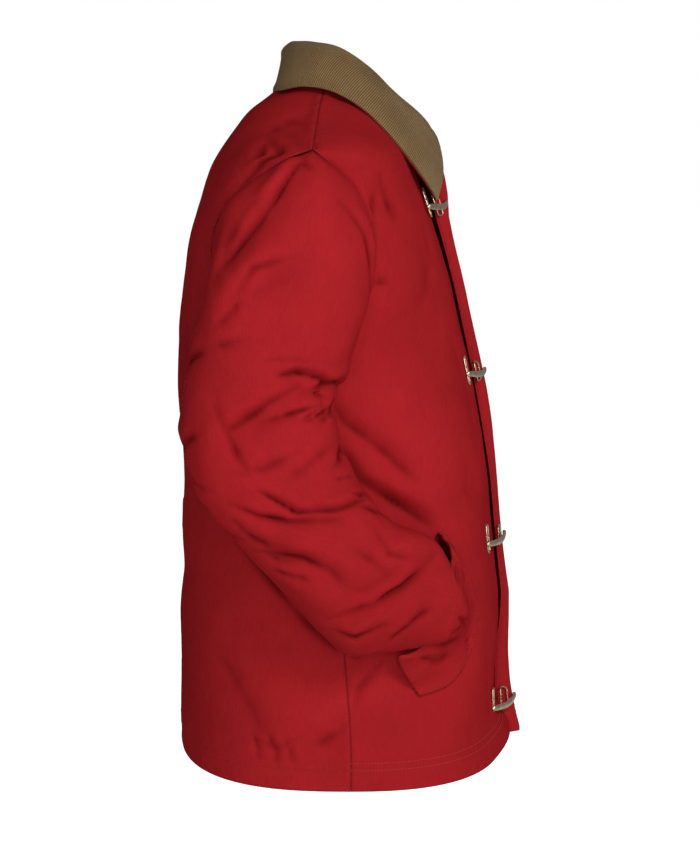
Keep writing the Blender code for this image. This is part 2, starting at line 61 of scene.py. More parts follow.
# The form's dimensions. The left front's lap and edge, the pocket's bulge and the
# hooks' bars are those of the dressed model and differ from the solids'.
CANVAS = 2.0 * MM  # wall of the body, sleeves and pockets
CORDUROY = 2.4 * MM  # wall of the top collar
UNDER_CLOTH = 1.4 * MM  # wall of the under collar
SEAM_GAP = 0.3 * MM  # clear space between neighbouring pieces
WIRE = 2.4 * MM  # diameter of the clasp wire
WIRE_LIFT = 0.8 * MM  # clear space under the clasp wire
WIRE_CORNER = 4 * MM  # bend radius at the corners of a wire frame
COLLAR_SPACE = 4.6 * MM  # clear space between the collar stand and the neckline
POCKET_SPACE = 0.8 * MM  # clear space under the stitched edge of a pocket
NECK_POINT = 10 * MM  # height where a shoulder seam meets the neckline
NECK_BACK = 4 * MM  # height of the neckline at the centre of the back
NECK_FRONT = -72 * MM  # height of the neckline at the centre of the front
SHOULDER_POINT = -60 * MM  # height where a shoulder seam meets the armhole
ARMPIT = -250 * MM  # height of the foot of the armhole
HEM_SIDE = -692 * MM  # height of the hem at the side seams
HEM_BACK = -668 * MM  # the same at the centre of the back
HEM_FRONT = -670 * MM  # the same at the centre of the front
LAP_UNDER = 26 * MM  # how far the right front runs past the middle, under the left
LAP_OVER = 14 * MM  # how far the left front runs past the middle, over the right
FLAP_EDGE = 5.5 * MM  # how far the left front's edge stays off the right front
FLAP_REACH = 95 * MM  # width over which the left front stands proud
NECK_SCOOP = 2.2  # power that rounds the neckline down to the front
CHEST_ROW = -260 * MM  # height at the front's centre of the row that starts the armhole
FRONT_TOP_ROW = -128 * MM  # height at the front's centre of the shoulder point's row
BACK_TOP_ROW = -72 * MM  # the same at the centre of the back
COLLAR_TUCK = 7 * MM  # how far the collar stand runs down inside the neckline
COLLAR_RIDGE = 5.5 * MM  # half the width of the roll at the collar's top
COLLAR_LEAN = 25 * MM  # how far behind the origin the collar's outward lines meet
COLLAR_LAP = 0.6  # share of the left front's lap that the collar's left end follows
POCKET_BULGE = 25 * MM  # how far the pocket rounds out over the cuff
FOLD_ENDS = 0.35  # share of a fold's depth that is left at its two ends
CLASP_TOP = -117 * MM  # height of the uppermost clasp's middle
CLASP_PITCH = 171.5 * MM  # distance from clasp to clasp
LOOP_X = -14 * MM  # middle of the wire loops on the left front
HOOK_FRONT = -5 * MM  # X of the hooks' front ends
HOOK_WIDTH = 6.6 * MM  # width of a hook's bar at its middle
HOOK_THICK = 3.6 * MM  # thickness of a hook's bar at its middle
HOOK_BOW = 3.5 * MM  # how far a hook's middle stands forward of its ends
HOOK_LIFT = 1.0 * MM  # clear space between a hook and the wires it crosses
UNDER_EDGE = 0.5 * MM  # how far the under collar shows past the fall's edge
FLOOR = -0.84  # height of the studio floor
HOOK_SAG = 2.0 * MM  # how far a hook's middle hangs below its ends
HOOK_CURL = 2.2 * MM  # bend radius at a hook's two ends
HOOK_SIDES = 16  # points round a hook's bar
FINE_WIRE = 1.9 * MM  # diameter of the dressed clasp wire
POCKET_FLANGE = 9 * MM  # width of the pocket's edge that is sewn flat to the front
POCKET_MIDDLE = (-95 * MM, -520 * MM)  # Y and height the pocket's edge turns round
POCKET_SWEEP = 0.84  # share of the pocket's columns that lie over the cuff
LEAF_BACK = 9 * MM  # how far the left collar leaf's corner hangs back

# Grid sizes of the cloth shells.
ROWS_BELOW_ARM = 130
ROWS_ALONG_ARM = 72
ROWS_OVER_SHOULDER = 16
BACK_COLUMNS = 190
FRONT_COLUMNS = 120
ROW_SAMPLES = 400  # points along a panel's row before it is spaced evenly
SLEEVE_ROWS = 260
SLEEVE_BLEND = 5  # station where the armhole's own outline has eased out of the sleeve
COLLAR_COLUMNS = 150
COLLAR_ROWS = 34
POCKET_ROWS = 70
POCKET_COLUMNS = 56
EDGE_STOPS = (0.0, 0.8, 1.8, 3.0, 4.6, 6.6, 9.0)  # mm from a seam, where columns crowd
HEM_STOPS = (0, 1, 2.2, 4, 7, 11, 15, 19, 22, 25, 27, 28.5, 30, 32, 36)  # mm from the hem
HEM_TURN = 28 * MM  # depth of the turned hem
SEAM_DIP = 1.3 * MM  # how far the cloth is pulled in along a seam
SEAM_REACH = 2.8 * MM  # width over which it is pulled in
ARMHOLE_DIP = 3.4 * MM  # how far a sleeve drops under the armhole's edge
STITCH_LIFT = 0.25 * MM  # how far a stitch's middle stands off the cloth
SLEEVE_STARTS = (0.0, 0.05, 0.11, 0.18, 0.27, 0.38)  # stations that crowd at the armhole
ARMHOLE_BACK = 0.62  # share of the armhole's dip that the sleeve has behind
ARMHOLE_FRONT = 0.08  # share of that drop at the front of the armhole
ARMHOLE_TURN = 5 * MM  # Y where the armhole's dip starts to grow towards the back
ARMHOLE_FADE = 34 * MM  # depth over which it grows
SLEEVE_FREE = 12 * MM  # distance from the armhole where a sleeve's creases are whole
SLEEVE_SEAM = 0.785  # where a sleeve's own seam runs, as a share of the way round it
SLEEVE_SEAM_DIP = 0.9 * MM  # how far the sleeve is pulled in along it
CREASE_ROUND = 0.3  # how round a crease's foot is, as a share of its width
CREASE_SPREAD = 0.75  # how soon a crease's flanks level out, as a share of its width
CREASE_FREE = 12 * MM  # distance from a seam where creases are whole
CREASE_WANDER = 4 * MM  # how far the left half's creases wander from a mirror image
WANDER_SIZE = 60 * MM  # how broad that wander is
RIDGE_AT = 2.1  # how far beside a crease the cloth stands up, in its widths
RIDGE_WIDE = 1.5  # how broad it stands up there, in its widths
LEFT_SEED = 57  # sets the left half's swells apart from the right half's
TURN_X = -22 * MM  # where the right front turns in behind the left front
UNDER_DROP = 2.5 * MM  # how far it lies behind that turn
UNDER_TURN = 9 * MM  # width of that turn
UNDER_FOOT = -655 * MM  # height below which it hangs flush again
UNDER_FADE = 30 * MM  # height over which it comes to hang flush
FRAME_WIDE = 7 * MM  # width of a clasp's wire frame
FRAME_HIGH = 29 * MM  # height of a clasp's wire frame
FRAME_LIFT = 4 * MM  # how far a frame's middle lies above its clasp's
LOOP_WIDE = 14 * MM  # width of a clasp's wire loop
LOOP_HIGH = 20 * MM  # height of a clasp's wire loop
MOUTH_LIFT = 2.5 * MM  # how far the pocket's mouth stays off the cuff
HEM_KICK = 10 * MM  # how far the right front's lower corner stands forward
KICK_START = 105 * MM  # distance from the middle where it starts to
KICK_WIDTH = 75 * MM  # width over which it comes forward
KICK_TOP = -612 * MM  # height below which it does
KICK_HEIGHT = 55 * MM  # height over which it comes forward
FOOT_RISE = 13 * MM  # how much higher the right front's hem lies at its own edge
RISE_WIDTH = 100 * MM  # distance from the middle where it starts to rise
RISE_TOP = -620 * MM  # height below which the cloth rises with it
RISE_HEIGHT = 70 * MM  # height over which it does
# Painted shade: the canvas colour is darkened deep inside narrow creases, where shade falls.
PAINTED_SHADE_DEPTH = 4.5  # a crease this deep, in millimetres, gets the full painted shade inside
PAINTED_SHADE_WIDEST = 12  # a crease this wide, in millimetres, gets no painted shade
PAINTED_SHADE_FADE = 6  # how much narrower it is where its painted shade is full, in millimetres
PAINTED_SHADE_CORE = 0.6  # how broad the painted shade is, as a share of the crease's width
WAVE_END = 75 * MM  # distance from the middle where a front's waves have died out
WAVE_FADE = 60 * MM  # width over which they do
FRONT_FREE = 45 * MM  # distance from a front's own edge where its creases are whole
EDGE_FREE = 0.1  # share of the creases' depth at that edge

# Waves of the fronts' own edges, in millimetres: how far back the edge is shifted at a
# height, or forward where the shift is negative.
Wave = namedtuple("Wave", "height shift")
RIGHT_WAVES = (
    Wave(-665, 0), Wave(-645, 1), Wave(-624, 3), Wave(-602, 1), Wave(-582, -1),
    Wave(-520, -2), Wave(-470, -1), Wave(-430, 0),
)
LEFT_WAVES = (
    Wave(-690, 0), Wave(-656, 1), Wave(-615, 2.2), Wave(-582, 2), Wave(-561, 0.5),
    Wave(-522, -2.5), Wave(-480, -1), Wave(-440, 0), Wave(-150, 0), Wave(-128, -0.5),
    Wave(-105, -4.5), Wave(-60, -6),
)

# Torso sections by height, in millimetres. Front and back are how far the surface
# reaches along Y at the middle, side is where its widest point lies along Y, flap is
# how far the left front stands proud of the right, and the last two columns are the
# exponents that square the section off, from 2 for an ellipse.
Section = namedtuple(
    "Section", "height half_width front back side flap front_square back_square"
)
TORSO = (
    Section(-700, 208, -191, 158, -22, 20, 2.4, 2.6),
    Section(-650, 204, -174, 156, -22, 24, 2.4, 2.6),
    Section(-600, 201, -172, 155, -19, 19, 2.4, 2.6),
    Section(-540, 198, -174, 155, -14, 13, 2.4, 2.6),
    Section(-470, 194, -170, 153, -8, 11, 2.4, 2.6),
    Section(-400, 190, -164, 154, 3, 11, 2.4, 2.6),
    Section(-320, 187, -151, 157, 12, 15, 2.4, 2.8),
    Section(-250, 190, -137, 156, 20, 15, 2.3, 3.2),
    Section(-200, 198, -126, 151, 20, 15, 2.3, 3.8),
    Section(-150, 209, -113, 143, 19, 16, 2.2, 4.2),
    Section(-110, 219, -100, 132, 17, 20, 2.2, 3.7),
    Section(-84, 224, -91, 123, 16, 24, 2.1, 3.1),
    Section(-60, 226, -81, 112, 15, 24, 2.1, 2.8),
    Section(-37, 177, -69, 98, 12, 12, 2.1, 2.6),
    Section(-15, 131, -60, 81, 9, 0, 2.0, 2.3),
    Section(0, 97, -54, 61, 6, 0, 1.8, 2.0),
    Section(15, 66, -48, 46, 5, 0, 1.7, 1.9),
)

# Front and back edge of the armhole along Y by height, in millimetres.
ArmholeRow = namedtuple("ArmholeRow", "height front back")
ARMHOLE = (
    ArmholeRow(-250, 20, 20),
    ArmholeRow(-247, 5, 48),
    ArmholeRow(-236, -12, 78),
    ArmholeRow(-215, -28, 99),
    ArmholeRow(-185, -39, 111),
    ArmholeRow(-150, -43, 114),
    ArmholeRow(-128, -41, 108),
    ArmholeRow(-105, -32, 92),
    ArmholeRow(-92, -23, 75),
    ArmholeRow(-79, -9, 56),
    ArmholeRow(-67, 6, 35),
    ArmholeRow(-60, 15, 15),
)

# Rings of the right sleeve, in millimetres and degrees. Tilt turns the ring about Y,
# from 0 where it stands upright in the armhole to 90 where the arm hangs. Swing turns
# it forwards. Across is the half size from the body outwards, fore the half size from
# front to back.
Ring = namedtuple("Ring", "station x y z tilt swing across fore square")
SLEEVE = (
    Ring(0, -208, 36, -155, 11, 0, 95, 77, 2.0),
    Ring(1, -222, 36, -160, 18, 0, 96, 77, 2.1),
    Ring(2, -232, 37, -175, 27, 0, 87, 77, 2.2),
    Ring(3, -240, 40, -196, 38, 0, 75, 78, 2.2),
    Ring(4, -244, 45, -220, 52, -2, 64, 78, 2.3),
    Ring(5, -247, 52, -247, 67, -2, 57, 78, 2.3),
    Ring(6, -249, 60, -276, 80, 0, 55, 77, 2.3),
    Ring(7, -251, 68, -305, 88, 5, 55, 75, 2.3),
    Ring(8, -252, 65, -336, 90, 13, 55, 75, 2.3),
    Ring(9, -252, 54, -368, 90, 22, 55, 71, 2.3),
    Ring(10, -251, 38, -396, 90, 29, 54, 66, 2.3),
    Ring(11, -250, 18, -424, 90, 38, 53, 62, 2.3),
    Ring(12, -248, -6, -450, 90, 48, 52, 61, 2.3),
    Ring(13, -244, -28, -474, 90, 56, 50, 65, 2.2),
    Ring(14, -240, -51, -489, 90, 62, 46, 69, 2.2),
    Ring(15, -229, -76, -493, 90, 67, 43, 61, 2.1),
    Ring(16, -214, -99, -500, 90, 71, 37, 49, 2.1),
    Ring(17, -206, -122, -510, 90, 76, 26, 31, 2.0),
)

# Folds as soft troughs between two points of the side view, in millimetres. Facing is
# 1 for the outer side of the sleeve or body and -1 for the side towards the middle.
Fold = namedtuple("Fold", "from_y from_z to_y to_z depth width facing")
SLEEVE_FOLDS = (
    Fold(26, -72, 80, -145, 9, 17, 1),
    Fold(76, -136, 106, -176, 6, 15, 1),
    Fold(33, -161, 90, -205, 5, 13, 1),
    Fold(42, -271, -8, -286, 11, 14, 1),
    Fold(24, -290, 100, -332, 9, 15, 1),
    Fold(93, -396, -14, -409, 9, 15, 1),
    Fold(71, -440, -17, -474, 8, 15, 1),
    Fold(-8, -506, -104, -456, 12, 14, 1),
    Fold(48, -282, -6, -300, 9, 14, -1),
    Fold(92, -330, 16, -318, 8, 14, -1),
    Fold(70, -392, -20, -404, 8, 15, -1),
    Fold(40, -446, -40, -462, 8, 15, -1),
)
FRONT_FOLDS = (
    Fold(-4, -308, -38, -347, 5, 14, 1),
    Fold(-34, -344, -72, -374, 6, 15, 1),
    Fold(-14, -354, -30, -386, 7, 14, 1),
    Fold(-28, -382, -70, -411, 10, 15, 1),
    Fold(-66, -408, -108, -437, 9, 15, 1),
)

# Stations of the collar from the middle of the back to its front end, in millimetres:
# turn is the place on the neckline in degrees from the front, roll the fold line and
# edge the free edge of the fall. Belly is how far the fall rounds out between them.
CollarRow = namedtuple(
    "CollarRow", "station turn roll_x roll_y roll_z edge_x edge_y edge_z belly"
)
COLLAR = (
    CollarRow(0, 180, 0, 44, 52, 0, 61, 2, 1),
    CollarRow(1, 152, -46, 36, 52, -60, 51, 2, 1),
    CollarRow(2, 122, -75, 15, 49, -96, 27, 5, 2),
    CollarRow(3, 88, -84, -12, 41, -116, -5, -1, 3),
    CollarRow(4, 55, -78, -42, 20, -123, -40, -22, 4),
    CollarRow(5, 30, -58, -71, -3.5, -115, -73, -56, 5),
    CollarRow(6, 14, -30, -96, -23.5, -92, -98, -88, 5),
    CollarRow(7, 5, -16, -106, -38, -62, -112, -110, 8),
)

# The right pocket, in millimetres. Its mouth runs over the end of the sleeve, and its
# stitched edge lies on the front: only its Y and height are given.
MouthRow = namedtuple("MouthRow", "station x y z")
MOUTH = (
    MouthRow(0.00, -173, -111, -440),
    MouthRow(0.14, -217, -120, -447),
    MouthRow(0.30, -242, -120, -474),
    MouthRow(0.48, -247, -119, -508),
    MouthRow(0.64, -244, -107, -534),
    MouthRow(0.78, -236, -86, -549),
    MouthRow(0.89, -222, -68, -556),
    MouthRow(1.00, -199, -79, -585),
)
EdgeRow = namedtuple("EdgeRow", "station y z")
POCKET_EDGE = (
    EdgeRow(0.00, -117, -443),
    EdgeRow(0.20, -134, -472),
    EdgeRow(0.40, -147, -503),
    EdgeRow(0.58, -150, -532),
    EdgeRow(0.74, -143, -563),
    EdgeRow(0.88, -122, -591),
    EdgeRow(1.00, -90, -600),
)

# Creases as soft uneven troughs, in millimetres. View says where they are drawn: side
# is (Y, Z) on the outer face, back and front are (X, Z). Lip is how high the cloth
# stands up beside the trough as a share of its depth, above the path where it is
# positive and below it where it is negative.
Crease = namedtuple("Crease", "view depth width lip path")
SLEEVE_CREASES = (
    Crease("side", 6.6, 4.5, 0.5, ((24, -66), (39, -89), (57, -115), (80, -145), (101, -169))),
    Crease("side", 2.0, 4.5, 0.5, ((30, -62), (26, -72), (14, -80))),
    Crease("side", 2.8, 6.0, 0.5, ((33, -161), (71, -172), (90, -205))),
    Crease("side", 2.5, 4.5, -0.5, ((83, -203), (103, -226))),
    Crease("side", 2.3, 6.0, 0.5, ((80, -239), (109, -247))),
    Crease("side", 2.5, 6.8, 0.4, ((70, -112), (96, -150), (106, -196))),
    Crease("side", 6.3, 3.8, 0.7, ((48, -273), (29, -271), (7, -278), (-8, -289))),
    Crease("side", 4.8, 4.5, 0.6, ((26, -283), (52, -297), (71, -311), (102, -331))),
    Crease("side", 4.1, 3.8, 0.5, ((5, -301), (30, -308), (62, -317))),
    Crease("side", 9.0, 1.8, 0.1, ((12, -292), (7, -293), (2, -294))),
    Crease("side", 4.1, 3.0, -0.6, ((20, -317), (-6, -305))),
    Crease("side", 5.3, 4.5, 0.6, ((93, -397), (66, -408), (38, -412), (-12, -410))),
    Crease("side", 5.8, 3.8, 0.6, ((66, -382), (30, -404), (-8, -402), (-30, -395), (-40, -394))),
    Crease("side", 4.6, 3.0, -0.4, ((-22, -388), (-38, -392))),
    Crease("side", 3.9, 5.2, 0.5, ((71, -443), (25, -447), (-3, -460), (-18, -478))),
    Crease("side", 3.0, 3.8, 0.5, ((54, -462), (18, -469))),
    Crease("side", 7.5, 4.5, 0.6, ((-10, -506), (-49, -492), (-74, -480), (-94, -465), (-105, -452))),
    Crease("side", 4.1, 3.8, 0.6, ((-4, -520), (-26, -528), (-54, -514))),
    Crease("side", 4.1, 3.8, 0.5, ((-60, -532), (-88, -510), (-98, -503))),
    Crease("side", 2.8, 6.0, 0.5, ((108, -300), (84, -352), (70, -372))),
    Crease("side", 2.3, 6.8, 0.5, ((28, -346), (62, -362), (92, -366))),
    Crease("side", 2.1, 6.8, -0.5, ((-8, -340), (10, -352), (36, -372))),
    Crease("side", 2.1, 5.2, 0.5, ((-44, -420), (-60, -444), (-86, -452))),
    Crease("side", 1.8, 6.0, 0.5, ((-20, -436), (-46, -452), (-60, -470))),
    Crease("side", 1.6, 4.0, 0.5, ((64, -259), (40, -257), (14, -260))),
    Crease("side", 2.4, 3.0, 0.4, ((3, -302), (12, -308), (26, -318))),
    Crease("side", 2.2, 3.0, 0.4, ((-2, -313), (6, -321))),
    Crease("side", 2.2, 3.0, 0.4, ((-24, -372), (-16, -372), (-8, -373))),
    Crease("side", 3.0, 4.5, 0.5, ((92, -411), (73, -429), (50, -439))),
    Crease("side", 2.0, 4.0, 0.4, ((67, -442), (48, -451), (30, -453))),
    Crease("front", 5.3, 5.2, 0.6, ((-290, -290), (-262, -283), (-232, -292), (-205, -284))),
    Crease("front", 4.1, 5.2, 0.6, ((-292, -318), (-258, -306), (-225, -312))),
    Crease("front", 4.1, 6.0, -0.5, ((-288, -362), (-255, -346), (-222, -352))),
    Crease("front", 3.4, 6.0, 0.5, ((-285, -398), (-250, -410), (-215, -404))),
    Crease("front", 3.4, 6.8, 0.5, ((-262, -110), (-238, -150), (-226, -200))),
    Crease("back", 4.1, 6.8, 0.5, ((-290, -250), (-258, -262), (-228, -252))),
    Crease("back", 4.4, 6.8, 0.5, ((-292, -330), (-256, -346), (-222, -338))),
    Crease("back", 3.7, 6.8, -0.5, ((-288, -382), (-256, -372), (-224, -384))),
    Crease("back", 3.4, 6.8, 0.5, ((-284, -432), (-250, -424), (-222, -434))),
)
BODY_SIDE_CREASES = (
    Crease("side", 3.5, 6.0, 0.5,
           ((-2, -307), (-15, -327), (-34, -341), (-54, -357), (-71, -372), (-86, -386))),
    Crease("side", 5.9, 5.2, 0.6, ((-13, -352), (-28, -384), (-46, -396), (-69, -410), (-112, -440))),
    Crease("side", 2.4, 7.5, 0.5, ((6, -345), (-6, -380), (-30, -404))),
    Crease("side", 6.0, 5.0, 0.5, ((16, -24), (40, -31), (66, -46))),
    Crease("side", 6.0, 5.0, 0.5, ((20, -36), (40, -45), (60, -56), (84, -76))),
    Crease("side", 6.0, 5.0, 0.5, ((22, -50), (44, -58), (66, -72), (84, -96))),
    # This crease runs under the sleeve's lower edge; its painted fold shade stands in for the sleeve's
    # shadow on the body.
    Crease("side", 5.0, 5.5, 0.2,
           ((93, -448), (61, -482), (45, -499), (23, -524), (5, -540), (-12, -552), (-30, -557))),
    Crease("side", 3.0, 6.0, 0.4, ((-51, -85), (-58, -108), (-69, -132))),
    Crease("side", 2.7, 6.0, 0.4, ((-47, -94), (-43, -118), (-42, -142))),
    Crease("side", 3.2, 4.5, 0.5, ((-31, -198), (-46, -190), (-60, -190))),
    Crease("side", 2.7, 6.8, 0.5, ((-20, -626), (4, -642), (18, -648))),
    Crease("side", 2.4, 7.5, 0.5, ((-60, -556), (-30, -590), (-12, -632))),
    Crease("side", 2.2, 8.2, 0.5, ((110, -560), (84, -604), (66, -640))),
    Crease("side", 1.9, 6.0, 0.5, ((30, -640), (52, -652), (74, -640))),
    Crease("side", 2.4, 3.0, 0.4, ((78, -634), (72, -652), (70, -664))),
    Crease("side", 2.2, 3.0, 0.4, ((62, -636), (54, -654), (52, -666))),
    Crease("side", 2.0, 3.0, 0.4, ((44, -640), (38, -656), (36, -668))),
)
BODY_FACE_CREASES = (
    Crease("back", 2.6, 18, 0.4, ((-150, -160), (-118, -230), (-104, -330), (-112, -430))),
    Crease("back", 2.6, 18, 0.4, ((158, -170), (120, -250), (110, -350), (104, -450))),
    Crease("back", 2.2, 20, 0.4, ((-40, -300), (-52, -420), (-46, -560), (-60, -650))),
    Crease("back", 2.2, 22, 0.4, ((56, -340), (48, -450), (62, -590), (54, -660))),
    Crease("back", 2.4, 14, 0.5, ((-170, -96), (-120, -84), (-70, -92))),
    Crease("back", 2.2, 14, 0.5, ((176, -100), (126, -90), (84, -100))),
    Crease("back", 1.8, 16, 0.5, ((-120, -480), (-60, -500), (10, -488))),
    Crease("back", 1.8, 16, 0.5, ((30, -520), (90, -506), (140, -520))),
    Crease("front", 2.6, 13, 0.5, ((-176, -236), (-140, -214), (-104, -170), (-86, -130))),
    Crease("front", 2.6, 13, 0.5, ((178, -240), (138, -210), (100, -168), (84, -132))),
    Crease("front", 2.2, 14, 0.5, ((-150, -420), (-112, -400), (-72, -404))),
    Crease("front", 2.2, 14, 0.5, ((152, -424), (110, -396), (66, -396))),
    Crease("front", 2.0, 16, 0.4, ((110, -470), (84, -540), (80, -620))),
    Crease("front", 2.0, 16, 0.4, ((-104, -560), (-86, -600), (-84, -650))),
    Crease("front", 1.8, 14, 0.5, ((70, -250), (56, -310), (62, -380))),
    Crease("front", 1.8, 14, 0.5, ((-84, -240), (-72, -310), (-78, -360))),
)
POCKET_CREASES = (
    Crease("side", 6.0, 2.0, 0.3, ((-139, -549), (-141, -556), (-143, -563))),
    Crease("side", 4.0, 4.0, 0.5, ((-112, -446), (-124, -468), (-128, -486))),
    Crease("side", 3.3, 4.0, 0.5, ((-126, -512), (-134, -522), (-140, -530))),
    Crease("side", 2.9, 5.6, 0.5, ((-88, -556), (-108, -566), (-124, -560))),
    Crease("side", 2.6, 5.6, 0.5, ((-92, -538), (-116, -546), (-134, -538))),
    Crease("front", 2.6, 6.4, 0.5, ((-222, -486), (-190, -498), (-160, -494))),
    Crease("front", 2.6, 6.4, 0.5, ((-226, -530), (-192, -526), (-164, -534))),
)

# Broad unevenness of the cloth: size of the swells and how far they stand, in metres.
Swell = namedtuple("Swell", "size height seed")
SLEEVE_SWELLS = (Swell(0.075, 0.0020, 3), Swell(0.034, 0.0009, 11), Swell(0.014, 0.0002, 29))
BODY_SWELLS = (Swell(0.13, 0.0020, 5), Swell(0.055, 0.0008, 17), Swell(0.02, 0.0002, 31))
POCKET_SWELLS = (Swell(0.04, 0.0014, 7), Swell(0.018, 0.0004, 19))

# The clasps in millimetres: the middle of the wire frame, the rear end of the hook,
# how much higher the hook's front end lies and how far the whole hook is lifted.
Clasp = namedtuple("Clasp", "number frame rear rise lift")
CLASP_ROWS = (
    Clasp(1, -60, -68, 3, 2),
    Clasp(2, -61, -66, 0, 1),
    Clasp(3, -80, -87, 1, 0),
    Clasp(4, -68, -75, 1, -1),
)

# How wide and how thick a hook's bar is along its length, as shares.
Bar = namedtuple("Bar", "place share")
HOOK_WIDTHS = (
    Bar(0, 0.5), Bar(0.06, 0.75), Bar(0.2, 0.9), Bar(0.5, 1), Bar(0.8, 1), Bar(0.94, 0.95),
    Bar(1, 0.75),
)
HOOK_THICKS = (Bar(0, 0.5), Bar(0.08, 0.8), Bar(0.4, 1), Bar(0.92, 0.9), Bar(1, 0.6))

# The studio's lamps: power in watts, and in metres their size, place and what they face.
Lamp = namedtuple("Lamp", "name power size place target")
LAMPS = (
    Lamp("key_light", 31, 0.8, (-2.1, -1.25, 0.95), (0, 0, -0.35)),
    Lamp("fill_light", 22, 1.0, (-2.8, 0.0, -0.25), (0, 0, -0.4)),
    Lamp("far_light", 14, 1.2, (2.0, 1.0, 1.6), (0, 0, -0.3)),
)
CAMERA_AIM = (0, -0.021, -0.346)
CAMERA_RISE = 5  # how far the camera looks down, in degrees
CAMERA_AWAY = 3.0  # distance from the camera to its aim
SENSOR = 36  # size of the camera's sensor, in millimetres
VIEW_HEIGHT = 850 * 0.00105  # height that the picture shows at the camera's aim
FLOOR_HALF = 60.0  # half the floor's side


def smooth_between(values, slopes, spot, span, part):
    """Values on a smooth curve, a part of the way from a row to the next one."""
    rest = 1 - part
    start = rest * rest * ((1 + 2 * part) * values[spot] + part * span * slopes[spot])
    end = part * part * ((1 + 2 * rest) * values[spot + 1] - rest * span * slopes[spot + 1])
    return start + end


def smooth_column(table, key, name, at):
    """One column of a table at the key values `at`, on a smooth curve through its rows."""
    keys = np.array([getattr(row, key) for row in table], float)
    values = np.array([getattr(row, name) for row in table], float)
    slopes = np.gradient(values, keys)
    at = np.clip(np.asarray(at, float), keys[0], keys[-1])
    spot = np.clip(np.searchsorted(keys, at) - 1, 0, len(keys) - 2)
    span = keys[spot + 1] - keys[spot]
    return smooth_between(values, slopes, spot, span, (at - keys[spot]) / span)


def row_at(table, station):
    """The row of a table at a station, on a smooth curve through its rows."""
    kind = type(table[0])
    return kind(*(float(smooth_column(table, "station", name, station)) for name in kind._fields))


def ease(amount):
    """0 to 1 with a soft start and end."""
    amount = np.clip(amount, 0, 1)
    return amount * amount * (3 - 2 * amount)


def torso(name, height):
    """A column of the torso table at a height in metres, in metres or as an exponent."""
    value = smooth_column(TORSO, "height", name, np.asarray(height) / MM)
    return value if name.endswith("square") else value * MM


def squared(wave, power):
    """A sine or a cosine squared off by a power."""
    return np.sign(wave) * np.abs(wave) ** power


def body_point(angle, height):
    """The torso surface. Angle runs from 0 at the front over 90 degrees at the right."""
    forward = np.cos(angle) >= 0
    square = np.where(forward, torso("front_square", height), torso("back_square", height))
    across = squared(np.sin(angle), 2 / square)
    along = np.abs(np.cos(angle)) ** (2 / square)
    side = torso("side", height)
    reach = np.where(forward, torso("front", height), torso("back", height)) - side
    x = -torso("half_width", height) * across
    return np.stack([x, side + reach * along, height + 0 * x], -1)


def body_normal(angle, height):
    """Unit vectors square to the torso surface, pointing out."""
    turn = math.radians(0.5)
    rise = 2 * MM
    around = body_point(angle + turn, height) - body_point(angle - turn, height)
    upward = body_point(angle, height + rise) - body_point(angle, height - rise)
    return unit(np.cross(upward, around))


def unit(vectors):
    """The vectors, each scaled to length 1."""
    return vectors / np.linalg.norm(vectors, axis=-1, keepdims=True)


def angle_at_y(y, height, forward):
    """The angle where the surface at this height passes Y, on its front or its back."""
    side = torso("side", height)
    reach = torso("front" if forward else "back", height) - side
    square = torso("front_square" if forward else "back_square", height)
    angle = np.arccos(np.clip((y - side) / reach, 0, 1) ** (square / 2))
    return angle if forward else math.pi - angle


def angle_at_x(x, height):
    """The angle where the front surface at this height passes X."""
    share = np.clip(np.abs(x) / torso("half_width", height), 0, 1)
    return -np.sign(x) * np.arcsin(share ** (torso("front_square", height) / 2))


def neck_height(angle):
    """Height of the neckline at an angle."""
    angle = np.abs(angle)
    share = np.clip(angle / (math.pi / 2), 0, 1)
    front = NECK_FRONT + (NECK_POINT - NECK_FRONT) * (1 - (1 - share) ** NECK_SCOOP)
    back = NECK_POINT + (NECK_BACK - NECK_POINT) * ease(angle / (math.pi / 2) - 1)
    return np.where(angle < math.pi / 2, front, back)


def side_angle(height, forward):
    """Where a panel ends: at the side seam, the armhole or the shoulder seam."""
    if height <= ARMPIT or height >= SHOULDER_POINT:
        return math.pi / 2
    name = "front" if forward else "back"
    edge = smooth_column(ARMHOLE, "height", name, height / MM) * MM
    return float(angle_at_y(edge, height, forward))


def hem_share(index, count, length):
    """Share of the side seam's height at a row, crowding over the turned hem."""
    near = np.array(HEM_STOPS) * MM / length
    rest = np.linspace(near[-1], 1, count - len(near) + 2)[1:-1]
    return float(np.concatenate([near, rest])[index])


def panel_heights(centre_hem, centre_arm, centre_shoulder):
    """(side height, centre height, rise) of each row of a panel, hem to neck."""
    side = [HEM_SIDE, ARMPIT, SHOULDER_POINT, NECK_POINT]
    centre = [centre_hem, centre_arm, centre_shoulder, None]
    rows = []
    for step, count in enumerate((ROWS_BELOW_ARM, ROWS_ALONG_ARM, ROWS_OVER_SHOULDER)):
        for index in range(count):
            share = index / count
            if step == 0:
                share = hem_share(index, count, ARMPIT - HEM_SIDE)
            if step == 1:
                share = (1 - math.cos(math.pi * share)) / 2
            high = side[step] + (side[step + 1] - side[step]) * share
            if step < 2:
                middle = centre[step] + (centre[step + 1] - centre[step]) * share
                rows.append((high, middle, 0.0))
            else:
                rows.append((high, centre[step], share))
    rows.append((NECK_POINT, centre[2], 1.0))
    return rows


def panel_row(start, end, side_height, centre_height, to_neck, centre_at_start):
    """Dense angles and heights along one row of a panel."""
    share = np.linspace(0, 1, ROW_SAMPLES)
    angles = start + (end - start) * share
    from_centre = np.abs(np.abs(angles) - (0 if centre_at_start else math.pi))
    quarter = np.clip(from_centre / (math.pi / 2), 0, 1)
    level = centre_height + (side_height - centre_height) * (1 - (1 - quarter) ** 2)
    heights = level + (neck_height(angles) - level) * to_neck
    return angles, heights


